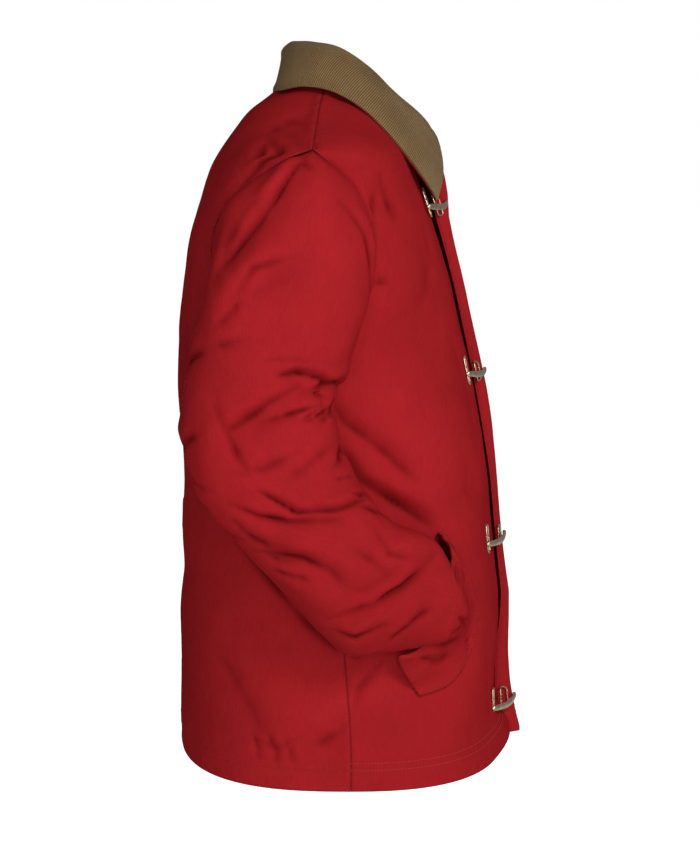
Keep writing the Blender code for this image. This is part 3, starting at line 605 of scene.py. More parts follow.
def spaced_row(angles, heights, count):
    """Points and normals along a row, crowding towards its two ends."""
    points = body_point(angles, heights)
    lengths = np.concatenate([[0], np.cumsum(np.linalg.norm(np.diff(points, axis=0), axis=1))])
    near = np.array(EDGE_STOPS) * MM
    middle = np.linspace(near[-1], lengths[-1] - near[-1], count - 2 * len(near) + 2)[1:-1]
    stops = np.concatenate([near, middle, lengths[-1] - near[::-1]])
    angle = np.interp(stops, lengths, angles)
    height = np.interp(stops, lengths, heights)
    return body_point(angle, height), body_normal(angle, height)


def fold_depth(points, normals, folds):
    """How far the folds push each point in, in metres."""
    depth = np.zeros(points.shape[:-1])
    for fold in folds:
        start = np.array([fold.from_y, fold.from_z]) * MM
        run = np.array([fold.to_y, fold.to_z]) * MM - start
        offset = points[..., 1:] - start
        along = np.clip(offset @ run / (run @ run), 0, 1)
        away = np.linalg.norm(offset - along[..., None] * run, axis=-1)
        facing = np.clip(-2 * normals[..., 0] * fold.facing, 0, 1)
        ends = FOLD_ENDS + (1 - FOLD_ENDS) * np.sin(math.pi * along)
        depth += fold.depth * MM * np.exp(-((away / (fold.width * MM)) ** 2)) * facing * ends
    return depth


def pressed(points, normals, folds):
    """The points moved in by the folds, for either half of the body."""
    mirrored = points[..., :1] > 0
    flip = np.where(mirrored, np.array([-1.0, 1.0, 1.0]), 1.0)
    depth = fold_depth(points * flip, normals * flip, folds)
    return points - normals * depth[..., None]


def flap_shift(points):
    """How far forward the left front stands at these points."""
    proud = torso("flap", points[..., 2]) * ease(1 - np.abs(points[..., 0]) / FLAP_REACH)
    rolled = (proud - FLAP_EDGE) * ease(-points[..., 0] / LAP_OVER)
    return proud - rolled


def front_panel(side):
    """Grid of points and normals of a front: side is 1 for the right, -1 for the left."""
    points = []
    normals = []
    for side_height, centre, to_neck in panel_heights(HEM_FRONT, CHEST_ROW, FRONT_TOP_ROW):
        lap = LAP_UNDER if side > 0 else LAP_OVER
        middle = centre + (NECK_FRONT - centre) * to_neck
        start = float(angle_at_x(lap * side, middle))
        end = side * side_angle(side_height, True)
        angles, heights = panel_row(start, end, side_height, centre, to_neck, True)
        row, row_normals = spaced_row(angles, heights, FRONT_COLUMNS)
        points.append(row)
        normals.append(row_normals)
    points = pressed(np.array(points), np.array(normals), FRONT_FOLDS)
    if side < 0:
        points[..., 1] -= flap_shift(points)
    return points, np.array(normals)


def back_panel():
    """Grid of points and normals of the back."""
    points = []
    normals = []
    for side_height, centre, to_neck in panel_heights(HEM_BACK, ARMPIT, BACK_TOP_ROW):
        edge = side_angle(side_height, False)
        angles, heights = panel_row(
            edge, 2 * math.pi - edge, side_height, centre, to_neck, False
        )
        row, row_normals = spaced_row(angles, heights, BACK_COLUMNS)
        points.append(row)
        normals.append(row_normals)
    return np.array(points), np.array(normals)


def armhole_loop():
    """The panels' own edge points round the right armhole, down its front from the top."""
    share = np.arange(ROWS_ALONG_ARM + 1) / ROWS_ALONG_ARM
    heights = ARMPIT + (SHOULDER_POINT - ARMPIT) * (1 - np.cos(math.pi * share)) / 2
    front = [body_point(side_angle(level, True), level) for level in heights[::-1]]
    back = [body_point(side_angle(level, False), level) for level in heights[1:-1]]
    return np.array(front + back)


def sleeve_ring(station, count):
    """One ring of the right sleeve, from its outer side round over its front."""
    row = row_at(SLEEVE, station)
    tilt = math.radians(row.tilt)
    swing = math.radians(row.swing)
    outer = np.array([-math.sin(tilt), 0, math.cos(tilt)])
    fore = np.array([0.0, -1.0, 0.0])
    lean = np.array(
        [
            [1, 0, 0],
            [0, math.cos(swing), math.sin(swing)],
            [0, -math.sin(swing), math.cos(swing)],
        ]
    )
    outer, fore = lean @ outer, lean @ fore
    turn = np.linspace(0, 2 * math.pi, count, endpoint=False)
    up = squared(np.cos(turn), 2 / row.square) * row.across * MM
    front = squared(np.sin(turn), 2 / row.square) * row.fore * MM
    centre = np.array([row.x, row.y, row.z]) * MM
    return centre + up[:, None] * outer + front[:, None] * fore


def sleeve_grid():
    """Rings of the right sleeve: the first follows the armhole, the rest ease away."""
    evenly = np.linspace(SLEEVE_STARTS[-1], SLEEVE[-1].station, SLEEVE_ROWS)
    stations = np.concatenate([SLEEVE_STARTS, evenly[1:]])
    loop = armhole_loop()
    rings = np.array([sleeve_ring(station, len(loop)) for station in stations])
    shape = loop - rings[0]
    for index, station in enumerate(stations):
        rings[index] += shape * (1 - ease(station / SLEEVE_BLEND))
    around = np.roll(rings, -1, axis=1) - np.roll(rings, 1, axis=1)
    along = np.gradient(rings, axis=0)
    normals = unit(np.cross(along, around))
    return pressed(rings, normals, SLEEVE_FOLDS), normals


def collar_grid():
    """Points of the collar's outer face, from the fall's edge over the roll into the neck."""
    last = COLLAR[-1].station
    columns = []
    for index in range(COLLAR_COLUMNS):
        place = last - 2 * last * index / (COLLAR_COLUMNS - 1)
        side = 1 if place >= 0 else -1
        row = row_at(COLLAR, abs(place))
        mirror = np.array([side, 1, 1])
        roll = np.array([row.roll_x, row.roll_y, row.roll_z]) * MM * mirror
        edge = np.array([row.edge_x, row.edge_y, row.edge_z]) * MM * mirror
        turn = math.radians(row.turn) * side
        level = float(neck_height(turn))
        inside = body_normal(turn, level - COLLAR_TUCK) * (CANVAS + CORDUROY + COLLAR_SPACE)
        foot = body_point(turn, level - COLLAR_TUCK) - inside
        neck = body_point(turn, level) - inside
        out = unit(np.array([roll[0], roll[1] + COLLAR_LEAN, 0]))
        drop = np.array([0, 0, COLLAR_RIDGE])
        path = [
            edge,
            (2 * edge + roll) / 3 + out * row.belly * MM,
            (edge + 2 * roll) / 3 + out * (row.belly + 1) * MM,
            roll + out * COLLAR_RIDGE - drop,
            roll,
            roll - out * COLLAR_RIDGE - drop,
            (neck + roll) / 2 - out * 3 * MM,
            neck,
            foot,
        ]
        if side < 0:
            tuck = LEAF_BACK * (abs(place) / last) ** 3
            shifts = [COLLAR_LAP * float(flap_shift(point)) for point in path]
            path = [point - np.array([0, shift, 0]) + np.array([0, tuck, 0])
                    for point, shift in zip(path, shifts)]
        columns.append(path)
    return np.array(columns).transpose(1, 0, 2)


def grid_normals(points):
    """Normals of an open grid from its own rows and columns."""
    return unit(np.cross(np.gradient(points, axis=0), np.gradient(points, axis=1)))


def on_front(y, z, lift):
    """A point over the right front at a place of the side view, and the way out there."""
    angle = angle_at_y(y, z, True)
    out = body_normal(angle, z)
    return body_point(angle, z) + out * lift, out


def on_cuff(rings, y, z):
    """How far out the sleeve lies at a place of the side view."""
    outer = rings[rings[..., 0] < rings[..., 0].mean(1)[:, None]]
    away = np.hypot(outer[:, 1] - y, outer[:, 2] - z) + 0.1 * MM
    near = np.argsort(away)[:5]
    return float(np.average(outer[near, 0], weights=1 / away[near]))


def pocket_grid():
    """Grid of the right pocket from its mouth over the cuff to its edge, sewn flat."""
    rings = sleeve_grid()[0][-120:]
    rows = []
    share = np.linspace(0, 1, POCKET_COLUMNS)[:, None]
    for station in np.linspace(0, 1, POCKET_ROWS):
        mouth = np.array(row_at(MOUTH, station)[1:]) * MM
        y, z = (value * MM for value in row_at(POCKET_EDGE, station)[1:])
        on_wrist = ease((station - 0.1) / 0.16) * ease((0.93 - station) / 0.13)
        mouth[0] += (on_cuff(rings, mouth[1], mouth[2]) - MOUTH_LIFT - mouth[0]) * on_wrist
        whole = ease(6 * min(station, 1 - station))
        turn_to = whole * np.array(POCKET_MIDDLE) + (1 - whole) * mouth[1:]
        inward = unit(turn_to - np.array([y, z]))
        edge, _ = on_front(y, z, CANVAS + POCKET_SPACE)
        fold, out = on_front(y + inward[0] * POCKET_FLANGE, z + inward[1] * POCKET_FLANGE,
                             CANVAS + 2 * POCKET_SPACE)
        open_here = math.sin(math.pi * station) ** 0.6
        reach = np.linalg.norm(fold - mouth)
        rise = mouth + (fold - mouth) * 0.36 + out * POCKET_BULGE * open_here
        settle_at = fold + unit(fold - edge) * reach * 0.34 + out * 3 * MM * open_here
        at = np.clip(share / POCKET_SWEEP, 0, 1)
        rest = 1 - at
        bowed = (rest ** 3 * mouth + 3 * rest ** 2 * at * rise
                 + 3 * rest * at ** 2 * settle_at + at ** 3 * fold)
        flat = np.clip((share - POCKET_SWEEP) / (1 - POCKET_SWEEP), 0, 1)
        rows.append(bowed + (edge - fold) * flat)
    points = np.array(rows)
    return points, grid_normals(points)


def surface_at(x, height, left):
    """Outer face of a front near the middle, with its normal."""

    def place(across, level):
        point = body_point(angle_at_x(across, level), level)
        return point - np.array([0, float(flap_shift(point)) if left else 0, 0])

    step = 2 * MM
    across = place(x + step, height) - place(x - step, height)
    upward = place(x, height + step) - place(x, height - step)
    return place(x, height), unit(np.cross(across, upward))


def noise_field(points, size, seed):
    """Smooth noise about -1 to 1 at each point, with swells about as wide as the size."""
    spots = points.reshape(-1, 3) / size + seed * 7.31
    values = [noise.noise(Vector(spot)) for spot in spots]
    return np.array(values).reshape(points.shape[:-1]) * 2


def crease_view(crease, points, normals, mirror, wrap):
    """The two coordinates a crease is drawn in, and how squarely each point faces it."""
    x, y, z = (points[..., axis] for axis in range(3))
    if crease.view == "side":
        return np.stack([y, z], -1), np.clip(wrap - 1.5 * normals[..., 0] * mirror, 0, 1)
    facing = normals[..., 1] if crease.view == "back" else -normals[..., 1]
    return np.stack([x * mirror, z], -1), np.clip(1.7 * facing - 0.2, 0, 1)


def crease_depth(points, normals, table, mirror, wrap):
    """How far the creases push each point in, in metres, and how much painted shade it gets deep in a
    crease.
    """
    total = np.zeros(points.shape[:-1])
    fold = np.zeros(points.shape[:-1])
    for number, crease in enumerate(table):
        flat, facing = crease_view(crease, points, normals, mirror, wrap)
        path = np.array(crease.path) * MM
        legs = np.linalg.norm(np.diff(path, axis=0), axis=1)
        starts = np.concatenate([[0], np.cumsum(legs)]) / legs.sum()
        nearest = np.full(flat.shape[:-1], 1.0)
        side = np.zeros(flat.shape[:-1])
        share = np.zeros(flat.shape[:-1])
        for leg in range(len(legs)):
            run = path[leg + 1] - path[leg]
            offset = flat - path[leg]
            along = np.clip(offset @ run / (run @ run), 0, 1)
            gap = offset - along[..., None] * run
            away = np.linalg.norm(gap, axis=-1)
            closer = away < nearest
            nearest = np.where(closer, away, nearest)
            side = np.where(closer, np.sign(gap[..., 1]) * away, side)
            share = np.where(closer, starts[leg] + along * legs[leg] / legs.sum(), share)
        uneven = 1 + 0.3 * np.sin(9 * share + 2.1 * number) + 0.15 * np.sin(23 * share + number)
        taper = np.sin(math.pi * np.clip(share, 0.03, 0.97)) ** 0.6
        width = crease.width * MM * (0.75 + 0.5 * share)
        trough = np.exp((CREASE_ROUND - np.hypot(nearest / width, CREASE_ROUND)) / CREASE_SPREAD)
        ridge_at = np.sign(crease.lip) * RIDGE_AT * width
        ridge = np.exp(-(((side - ridge_at) / (RIDGE_WIDE * width)) ** 2)) * abs(crease.lip)
        total += crease.depth * MM * (trough - ridge) * uneven * taper * facing
        # fold: painted shade deep in narrow creases, which darkens the canvas colour
        narrow = ease((PAINTED_SHADE_WIDEST - crease.width) / PAINTED_SHADE_FADE)
        deep = min(crease.depth / PAINTED_SHADE_DEPTH, 1) * narrow * np.exp(-((nearest / (PAINTED_SHADE_CORE * width)) ** 2))
        fold = np.maximum(fold, deep * uneven * taper * facing)
    return total, fold


# A cloth piece before it gets its thickness: points and normals by row and column, the
# flat pattern's coordinates, the distance to the nearest seam and how far the seams
# pull the cloth in, all in metres, and how much painted shade each point gets deep in a
# fold, from 0 to 1.
Cloth = namedtuple("Cloth", "points normals u v seam dip fold")


def arc_lengths(points, axis):
    """Distance along a grid's rows or columns from their first point."""
    steps = np.linalg.norm(np.diff(points, axis=axis), axis=-1)
    return np.concatenate([np.zeros_like(np.take(steps, [0], axis)), np.cumsum(steps, axis)], axis)


def laid_out(points, normals, seams):
    """A Cloth from a grid. Seams names the grid's sides that are sewn or turned."""
    across = arc_lengths(points, 1)
    along = arc_lengths(points, 0)
    distance = {
        "start": across,
        "end": across[:, -1:] - across,
        "foot": along,
        "top": along[-1:] - along,
    }
    seam = np.min([distance[name] for name in seams], axis=0)
    middle = across[:, -1:] / 2 if "start" in seams else 0
    dip = seam_pull(seam, SEAM_DIP)
    return Cloth(points, normals, across - middle, along, seam, dip, across * 0)


def seam_pull(seam, dip):
    """How far the cloth is pulled in at a distance from a seam."""
    return dip * np.exp(-((seam / SEAM_REACH) ** 2))


def surface_normals(points, like, closed=False):
    """Normals of the moved grid, facing as the given ones do."""
    if closed:
        around = np.roll(points[:, :-1], -1, 1) - np.roll(points[:, :-1], 1, 1)
        around = np.concatenate([around, around[:, :1]], 1)
    else:
        around = np.gradient(points, axis=1)
    normals = np.cross(np.gradient(points, axis=0), around)
    size = np.linalg.norm(normals, axis=-1, keepdims=True)
    normals = np.where(size > 1e-12, normals / np.maximum(size, 1e-12), like)
    return np.where((normals * like).sum(-1, keepdims=True) < 0, -normals, normals)


def creased(cloth, tables, swells, strength, closed=False, free=1.0, seed=0):
    """The cloth with its creases, swells, pulled-in seams and painted crease shade. Tables holds
    the crease tables, each with 1 for the right or -1 for the left half and how far it wraps."""
    hold = free if closed else ease(cloth.seam / CREASE_FREE) * free
    depth, fold = 0 * cloth.seam, 0 * cloth.seam
    for table, mirror, wrap in tables:
        drift = noise_field(cloth.points, WANDER_SIZE, 41) * (CREASE_WANDER if mirror < 0 else 0)
        seen = cloth.points + np.stack([drift, drift, -drift], -1)
        push, inside = crease_depth(seen, cloth.normals, table, mirror, wrap)
        # fold gathers the painted shade deep in the creases
        depth, fold = depth + push, np.maximum(fold, inside * hold)
    for swell in swells:
        depth = depth + swell.height * noise_field(cloth.points, swell.size, swell.seed + seed)
    points = cloth.points - cloth.normals * (depth * strength * hold + cloth.dip)[..., None]
    normals = surface_normals(points, cloth.normals, closed)
    return cloth._replace(points=points, normals=normals, fold=np.clip(fold * strength, 0, 1))


def uv_corners(cloth):
    """The pattern coordinates of every quad's corners, in metres."""
    flat = np.stack([cloth.u, cloth.v], -1)
    return np.stack([flat[:-1, :-1], flat[:-1, 1:], flat[1:, 1:], flat[1:, :-1]], 2)


def in_scene(name, data):
    """A new object with this mesh, lamp or camera, linked to the scene."""
    piece = bpy.data.objects.new(name, data)
    bpy.context.scene.collection.objects.link(piece)
    return piece


def finished(name, mesh, sharp, weld=0):
    """An object of the mesh, its faces turned outwards and smooth below a sharp angle."""
    made = bmesh.new()
    made.from_mesh(mesh)
    if weld:
        bmesh.ops.remove_doubles(made, verts=made.verts, dist=weld)
    bmesh.ops.recalc_face_normals(made, faces=made.faces)
    made.to_mesh(mesh)
    made.free()
    mesh.shade_smooth()
    mesh.set_sharp_from_angle(angle=math.radians(sharp))
    return in_scene(name, mesh)


def shell(name, cloth, thickness, looks, closed=False):
    """A closed thin shell of the cloth: an outer face, a lining face and their rims."""
    rows, columns = cloth.u.shape
    inner = cloth.points - cloth.normals * thickness
    count = rows * columns
    index = np.arange(count).reshape(rows, columns)
    quads = np.stack([index[:-1, :-1], index[:-1, 1:], index[1:, 1:], index[1:, :-1]], -1)
    faces = [quads.reshape(-1, 4), quads.reshape(-1, 4)[:, ::-1] + count]
    corners = uv_corners(cloth).reshape(-1, 4, 2)
    layout = [corners, corners[:, ::-1]]
    rims = [index[0], index[-1, ::-1]]
    if not closed:
        rims += [index[::-1, 0], index[:, -1]]
    flat = np.stack([cloth.u, cloth.v], -1).reshape(-1, 2)
    for rim in rims:
        a, b = rim[:-1], rim[1:]
        faces.append(np.stack([b, a, a + count, b + count], -1))
        layout.append(np.stack([flat[b], flat[a], flat[a], flat[b]], 1))
    faces = np.concatenate(faces)
    mesh = bpy.data.meshes.new(name)
    mesh.from_pydata(np.concatenate([cloth.points.reshape(-1, 3), inner.reshape(-1, 3)]).tolist(),
                     [], faces.tolist())
    mesh.uv_layers.new(name="pattern").uv.foreach_set(
        "vector", np.concatenate(layout).astype(np.float32).ravel())
    # The fold attribute carries the painted crease shade to the canvas material.
    for label, values in (("seam", cloth.seam), ("fold", cloth.fold)):
        kept = mesh.attributes.new(label, "FLOAT", "POINT")
        kept.data.foreach_set("value", np.tile(values.ravel(), 2).astype(np.float32))
    for look in looks:
        mesh.materials.append(look)
    lining = np.zeros(len(faces), np.int32)
    lining[(rows - 1) * (columns - 1): 2 * (rows - 1) * (columns - 1)] = 1
    mesh.polygons.foreach_set("material_index", lining)
    return finished(name, mesh, 50, 1e-6)


def settle(piece, slot, *nodes):
    """Hands a finished piece to the frame."""
    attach(piece, "root")
    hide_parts(*nodes)


def flat_armhole(cloth):
    """The cloth with its armhole edge lying flat, as it is sewn over the sleeve."""
    dip = cloth.dip.copy()
    dip[ROWS_BELOW_ARM + 2: ROWS_BELOW_ARM + ROWS_ALONG_ARM] = 0
    return cloth._replace(dip=dip)


def turned_under(points):
    """The right front with its hidden edge lying flat behind the left front."""
    across = points[..., 0]
    turn = [np.interp(TURN_X, row[:, 0][::-1], row[:, 1][::-1]) for row in points]
    drop = UNDER_DROP * ease((across - TURN_X) / UNDER_TURN)
    flat = np.maximum(points[..., 1], np.array(turn)[:, None] + drop)
    share = ease((points[..., 2] - UNDER_FOOT) / UNDER_FADE) * (across > TURN_X)
    moved = points.copy()
    moved[..., 1] += (flat - points[..., 1]) * share
    near = ease((across + KICK_START) / KICK_WIDTH)
    moved[..., 1] -= HEM_KICK * near * ease((KICK_TOP - points[..., 2]) / KICK_HEIGHT)
    return moved


def lifted_foot(points):
    """A front with its hem rising towards its own edge."""
    near = ease(1 - np.abs(points[..., :1]) / RISE_WIDTH)
    low = ease((RISE_TOP - points[..., 2:]) / RISE_HEIGHT)
    return points + near * low * np.array([0, 0, FOOT_RISE])


def waved_edge(points, waves):
    """A front with its own edge lying further forward or back by height."""
    heights, shifts = np.array(waves).T * MM
    near = ease((WAVE_END - np.abs(points[..., 0])) / WAVE_FADE)
    moved = points.copy()
    moved[..., 1] += near * np.interp(points[..., 2], heights, shifts)
    return moved


def front_cloth(side, strength):
    """A front: side is 1 for the right and -1 for the left."""
    points, normals = front_panel(side)
    if side > 0:
        points = lifted_foot(turned_under(points))
    points = waved_edge(points, RIGHT_WAVES if side > 0 else LEFT_WAVES)
    cloth = flat_armhole(laid_out(points, normals, ("end", "foot")))
    from_edge = ease(arc_lengths(cloth.points, 1) / FRONT_FREE)
    tables = ((BODY_SIDE_CREASES, side, 0.0), (BODY_FACE_CREASES, 1, 0.0))
    free = EDGE_FREE + (1 - EDGE_FREE) * from_edge
    return creased(cloth, tables, BODY_SWELLS, strength, free=free)


def back_cloth(strength):
    """The back with its creases for both halves."""
    cloth = flat_armhole(laid_out(*back_panel(), ("start", "end", "foot")))
    tables = (
        (BODY_SIDE_CREASES, 1, 0.0),
        (BODY_SIDE_CREASES, -1, 0.0),
        (BODY_FACE_CREASES, 1, 0.0),
    )
    return creased(cloth, tables, BODY_SWELLS, strength)


def sleeve_cloth(mirror, strength):
    """A sleeve: mirror is 1 for the right and -1 for the left."""
    points, normals = sleeve_grid()
    points = np.concatenate([points, points[:, :1]], 1)
    normals = np.concatenate([normals, normals[:, :1]], 1)
    flip = np.array([mirror, 1, 1])
    cloth = laid_out(points * flip, normals * flip, ("foot",))
    behind = ease((points[..., 1] - ARMHOLE_TURN) / ARMHOLE_FADE)
    under_back = ARMHOLE_FRONT + (ARMHOLE_BACK - ARMHOLE_FRONT) * behind
    across = arc_lengths(points, 1)
    column = round(SLEEVE_SEAM * (points.shape[1] - 1))
    beside = np.abs(across - across[:, column: column + 1])
    dip = seam_pull(cloth.seam, ARMHOLE_DIP) * under_back + seam_pull(beside, SLEEVE_SEAM_DIP)
    cloth = cloth._replace(seam=np.minimum(cloth.seam, beside), dip=dip)
    free = ease(arc_lengths(points, 0) / SLEEVE_FREE)
    seed = 0 if mirror > 0 else LEFT_SEED
    tables = ((SLEEVE_CREASES, mirror, 0.25),)
    return creased(cloth, tables, SLEEVE_SWELLS, strength, True, free=free, seed=seed)


def smooth_rows(points, count):
    """More rows on a smooth curve through a grid's own rows, crowding at both ends."""
    steps = np.linalg.norm(np.diff(points, axis=0), axis=-1).mean(1)
    keys = np.concatenate([[0], np.cumsum(steps)]) / steps.sum()
    share = np.linspace(0, 1, count)
    at = share - 0.55 * np.sin(2 * math.pi * share) / (2 * math.pi)
    slopes = np.gradient(points, keys, axis=0)
    spot = np.clip(np.searchsorted(keys, at) - 1, 0, len(keys) - 2)
    span = (keys[spot + 1] - keys[spot])[:, None, None]
    part = (at[:, None, None] - keys[spot][:, None, None]) / span
    return smooth_between(points, slopes, spot, span, part)


def collar_cloth():
    """The top collar from the fall's edge over the roll to the neck, and its roll's row."""
    points = smooth_rows(collar_grid(), COLLAR_ROWS)
    cloth = laid_out(points, grid_normals(points), ("foot", "start", "end"))
    roll = int(np.argmax(points[:, COLLAR_COLUMNS // 2, 2]))
    swells = (Swell(0.09, 0.0022, 13), Swell(0.03, 0.0006, 23))
    return creased(cloth, (), swells, 1.0), roll


def pocket_cloth(mirror, strength):
    """A patch pocket from its mouth over the cuff to its stitched edge."""
    points, normals = pocket_grid()
    flip = np.array([mirror, 1, 1])
    cloth = laid_out(points * flip, normals * flip, ("start", "end", "foot", "top"))
    seed = 0 if mirror > 0 else LEFT_SEED
    return creased(cloth, ((POCKET_CREASES, mirror, 0.4),), POCKET_SWELLS, strength, seed=seed)


def along_side(cloth, side, distance, first=0, last=None):
    """A line at a distance from one side of a cloth, in metres, lifted off its face."""
    points, normals = cloth.points, cloth.normals
    if side in ("foot", "top"):
        points, normals = points.transpose(1, 0, 2), normals.transpose(1, 0, 2)
    if side in ("end", "top"):
        points, normals = points[:, ::-1], normals[:, ::-1]
    places = arc_lengths(points, 1)
    line = []
    for row in range(len(points))[first:last]:
        spot = [np.interp(distance, places[row], points[row, :, axis]) for axis in range(3)]
        out = [np.interp(distance, places[row], normals[row, :, axis]) for axis in range(3)]
        line.append(np.array(spot) + np.array(out) * STITCH_LIFT)
    return np.array(line)


def wire(tree, source, target):
    """Links one socket to another."""
    tree.links.new(source, target)


def set_inputs(node, **values):
    """Sets a node's inputs by name, with each space in a name written as _."""
    for name, value in values.items():
        node.inputs[name.replace("_", " ")].default_value = value


def math_node(tree, operation, *values, clamp=False):
    """A Math node with sockets or numbers on its inputs."""
    node = tree.nodes.new("ShaderNodeMath")
    node.operation = operation
    node.use_clamp = clamp
    for place, value in enumerate(values):
        if isinstance(value, (int, float)):
            node.inputs[place].default_value = value
        else:
            wire(tree, value, node.inputs[place])
    return node.outputs[0]


def times(tree, first, second):
    """The product of two sockets or numbers."""
    return math_node(tree, "MULTIPLY", first, second)


def plus(tree, first, second):
    """The sum of two sockets or numbers."""
    return math_node(tree, "ADD", first, second)


def noise_node(tree, vector, scale, detail):
    """Noise from 0 to 1 along a vector."""
    node = tree.nodes.new("ShaderNodeTexNoise")
    set_inputs(node, Scale=scale, Detail=detail, Roughness=0.55)
    wire(tree, vector, node.inputs["Vector"])
    return node.outputs["Fac"]


def ramp_node(tree, value, low, high, out_low, out_high):
    """A value mapped from one range to another and kept inside it."""
    node = tree.nodes.new("ShaderNodeMapRange")
    set_inputs(node, From_Min=low, From_Max=high, To_Min=out_low, To_Max=out_high)
    wire(tree, value, node.inputs["Value"])
    return node.outputs["Result"]


def group_ends(name, kind, inputs, outputs):
    """A new node group with its input and output nodes."""
    tree = bpy.data.node_groups.new(name, kind)
    for label, socket, default in inputs:
        made = tree.interface.new_socket(label, in_out="INPUT", socket_type=socket)
        if default is not None:
            made.default_value = default
    for label, socket in outputs:
        tree.interface.new_socket(label, in_out="OUTPUT", socket_type=socket)
    return tree, tree.nodes.new("NodeGroupInput"), tree.nodes.new("NodeGroupOutput")


def pattern_parts(tree, ends):
    """The two coordinates of a group's pattern vector."""
    split = tree.nodes.new("ShaderNodeSeparateXYZ")
    wire(tree, ends.outputs["Pattern"], split.inputs[0])
    return split.outputs["X"], split.outputs["Y"]


def stretched(tree, u, v, across, along):
    """A vector of the pattern's two coordinates, each with a scale of its own."""
    node = tree.nodes.new("ShaderNodeCombineXYZ")
    wire(tree, times(tree, u, across), node.inputs["X"])
    wire(tree, times(tree, v, along), node.inputs["Y"])
    return node.outputs[0]


def twill_group():
    """Diagonal twill ribs with slubs along the warp, from a pattern vector in metres."""
    tree, ends, out = group_ends(
        "twill_weave", "ShaderNodeTree",
        (("Pattern", "NodeSocketVector", None), ("Ribs per metre", "NodeSocketFloat", 900.0),
         ("Slub", "NodeSocketFloat", 0.35)),
        (("Height", "NodeSocketFloat"), ("Shade", "NodeSocketFloat")))
    u, v = pattern_parts(tree, ends)
    turn = times(tree, ends.outputs["Ribs per metre"], 2 * math.pi)
    diagonal = math_node(tree, "SINE", times(tree, plus(tree, u, v), turn))
    across = math_node(tree, "SINE", times(tree, u, times(tree, turn, 2.0)))
    rib = plus(tree, times(tree, diagonal, 0.35), 0.5)
    rib = plus(tree, rib, times(tree, across, 0.12))
    slub = noise_node(tree, stretched(tree, u, v, 900.0, 60.0), 1.0, 3.0)
    mixed = times(tree, math_node(tree, "SUBTRACT", slub, 0.5), ends.outputs["Slub"])
    wire(tree, plus(tree, rib, mixed), out.inputs["Height"])
    rib_shade = times(tree, math_node(tree, "SUBTRACT", rib, 0.5), 0.16)
    wire(tree, plus(tree, plus(tree, 1.0, mixed), rib_shade), out.inputs["Shade"])
    return tree


def wale_group():
    """Corduroy wales: rounded ribs across the pattern with a matted pile."""
    tree, ends, out = group_ends(
        "corduroy_wales", "ShaderNodeTree",
        (("Pattern", "NodeSocketVector", None), ("Wales per metre", "NodeSocketFloat", 440.0)),
        (("Height", "NodeSocketFloat"), ("Shade", "NodeSocketFloat")))
    u, v = pattern_parts(tree, ends)
    wander = noise_node(tree, ends.outputs["Pattern"], 90.0, 2.0)
    shift = times(tree, math_node(tree, "SUBTRACT", wander, 0.5), 0.9)
    turn = times(tree, ends.outputs["Wales per metre"], math.pi)
    place = plus(tree, times(tree, u, turn), shift)
    rounded = math_node(tree, "ABSOLUTE", math_node(tree, "SINE", place))
    rib = math_node(tree, "POWER", rounded, 0.7)
    tuft = noise_node(tree, stretched(tree, u, v, 1400.0, 420.0), 1.0, 2.0)
    tufted = times(tree, math_node(tree, "SUBTRACT", tuft, 0.5), 0.5)
    wire(tree, plus(tree, rib, tufted), out.inputs["Height"])
    base = plus(tree, 0.28, times(tree, rib, 0.82))
    wire(tree, plus(tree, base, tufted), out.inputs["Shade"])
    return tree


def wear_group():
    """Washed seams: where the cloth is paler beside a seam, and how it puckers there."""
    tree, ends, out = group_ends(
        "seam_wear", "ShaderNodeTree",
        (("Place", "NodeSocketVector", None), ("Seam", "NodeSocketFloat", 1.0),
         ("Reach", "NodeSocketFloat", 0.006)),
        (("Pale", "NodeSocketFloat"), ("Pucker", "NodeSocketFloat"), ("Patches", "NodeSocketFloat")))
    place, seam = ends.outputs["Place"], ends.outputs["Seam"]
    near = math_node(tree, "DIVIDE", seam, ends.outputs["Reach"])
    near = math_node(tree, "SUBTRACT", 1.0, near, clamp=True)
    broken = ramp_node(tree, noise_node(tree, place, 220.0, 3.0), 0.35, 0.7, 0.2, 1.0)
    wire(tree, times(tree, near, broken), out.inputs["Pale"])
    wide = math_node(tree, "SUBTRACT", 1.0, math_node(tree, "DIVIDE", seam, 0.022), clamp=True)
    ripple = noise_node(tree, place, 120.0, 2.0)
    wire(tree, times(tree, wide, ripple), out.inputs["Pucker"])
    clouds = noise_node(tree, place, 9.0, 4.0)
    wire(tree, ramp_node(tree, clouds, 0.3, 0.7, 0.0, 1.0), out.inputs["Patches"])
    return tree


def new_material(name):
    """The node tree and the shader of a new material."""
    made = bpy.data.materials.new(name)
    made.use_nodes = True
    return made.node_tree, made.node_tree.nodes["Principled BSDF"]


def placed_group(tree, group):
    """A node that holds a group."""
    node = tree.nodes.new("ShaderNodeGroup")
    node.node_tree = group
    return node


def tinted(tree, color, *factors):
    """A colour multiplied by grey factors."""
    value = factors[0]
    for factor in factors[1:]:
        value = times(tree, value, factor)
    node = tree.nodes.new("ShaderNodeVectorMath")
    node.operation = "SCALE"
    node.inputs[0].default_value = color
    wire(tree, value, node.inputs["Scale"])
    return node.outputs[0]


def blended(tree, factor, first, second):
    """A mix of two colours or colour sockets."""
    node = tree.nodes.new("ShaderNodeMix")
    node.data_type = "RGBA"
    wire(tree, factor, node.inputs["Factor"])
    for place, color in ((6, first), (7, second)):
        if isinstance(color, tuple):
            node.inputs[place].default_value = (*color, 1)
        else:
            wire(tree, color, node.inputs[place])
    return node.outputs[2]


def attribute_node(tree, name):
    """A number that is kept on the mesh's points."""
    node = tree.nodes.new("ShaderNodeAttribute")
    node.attribute_name = name
    return node.outputs["Fac"]


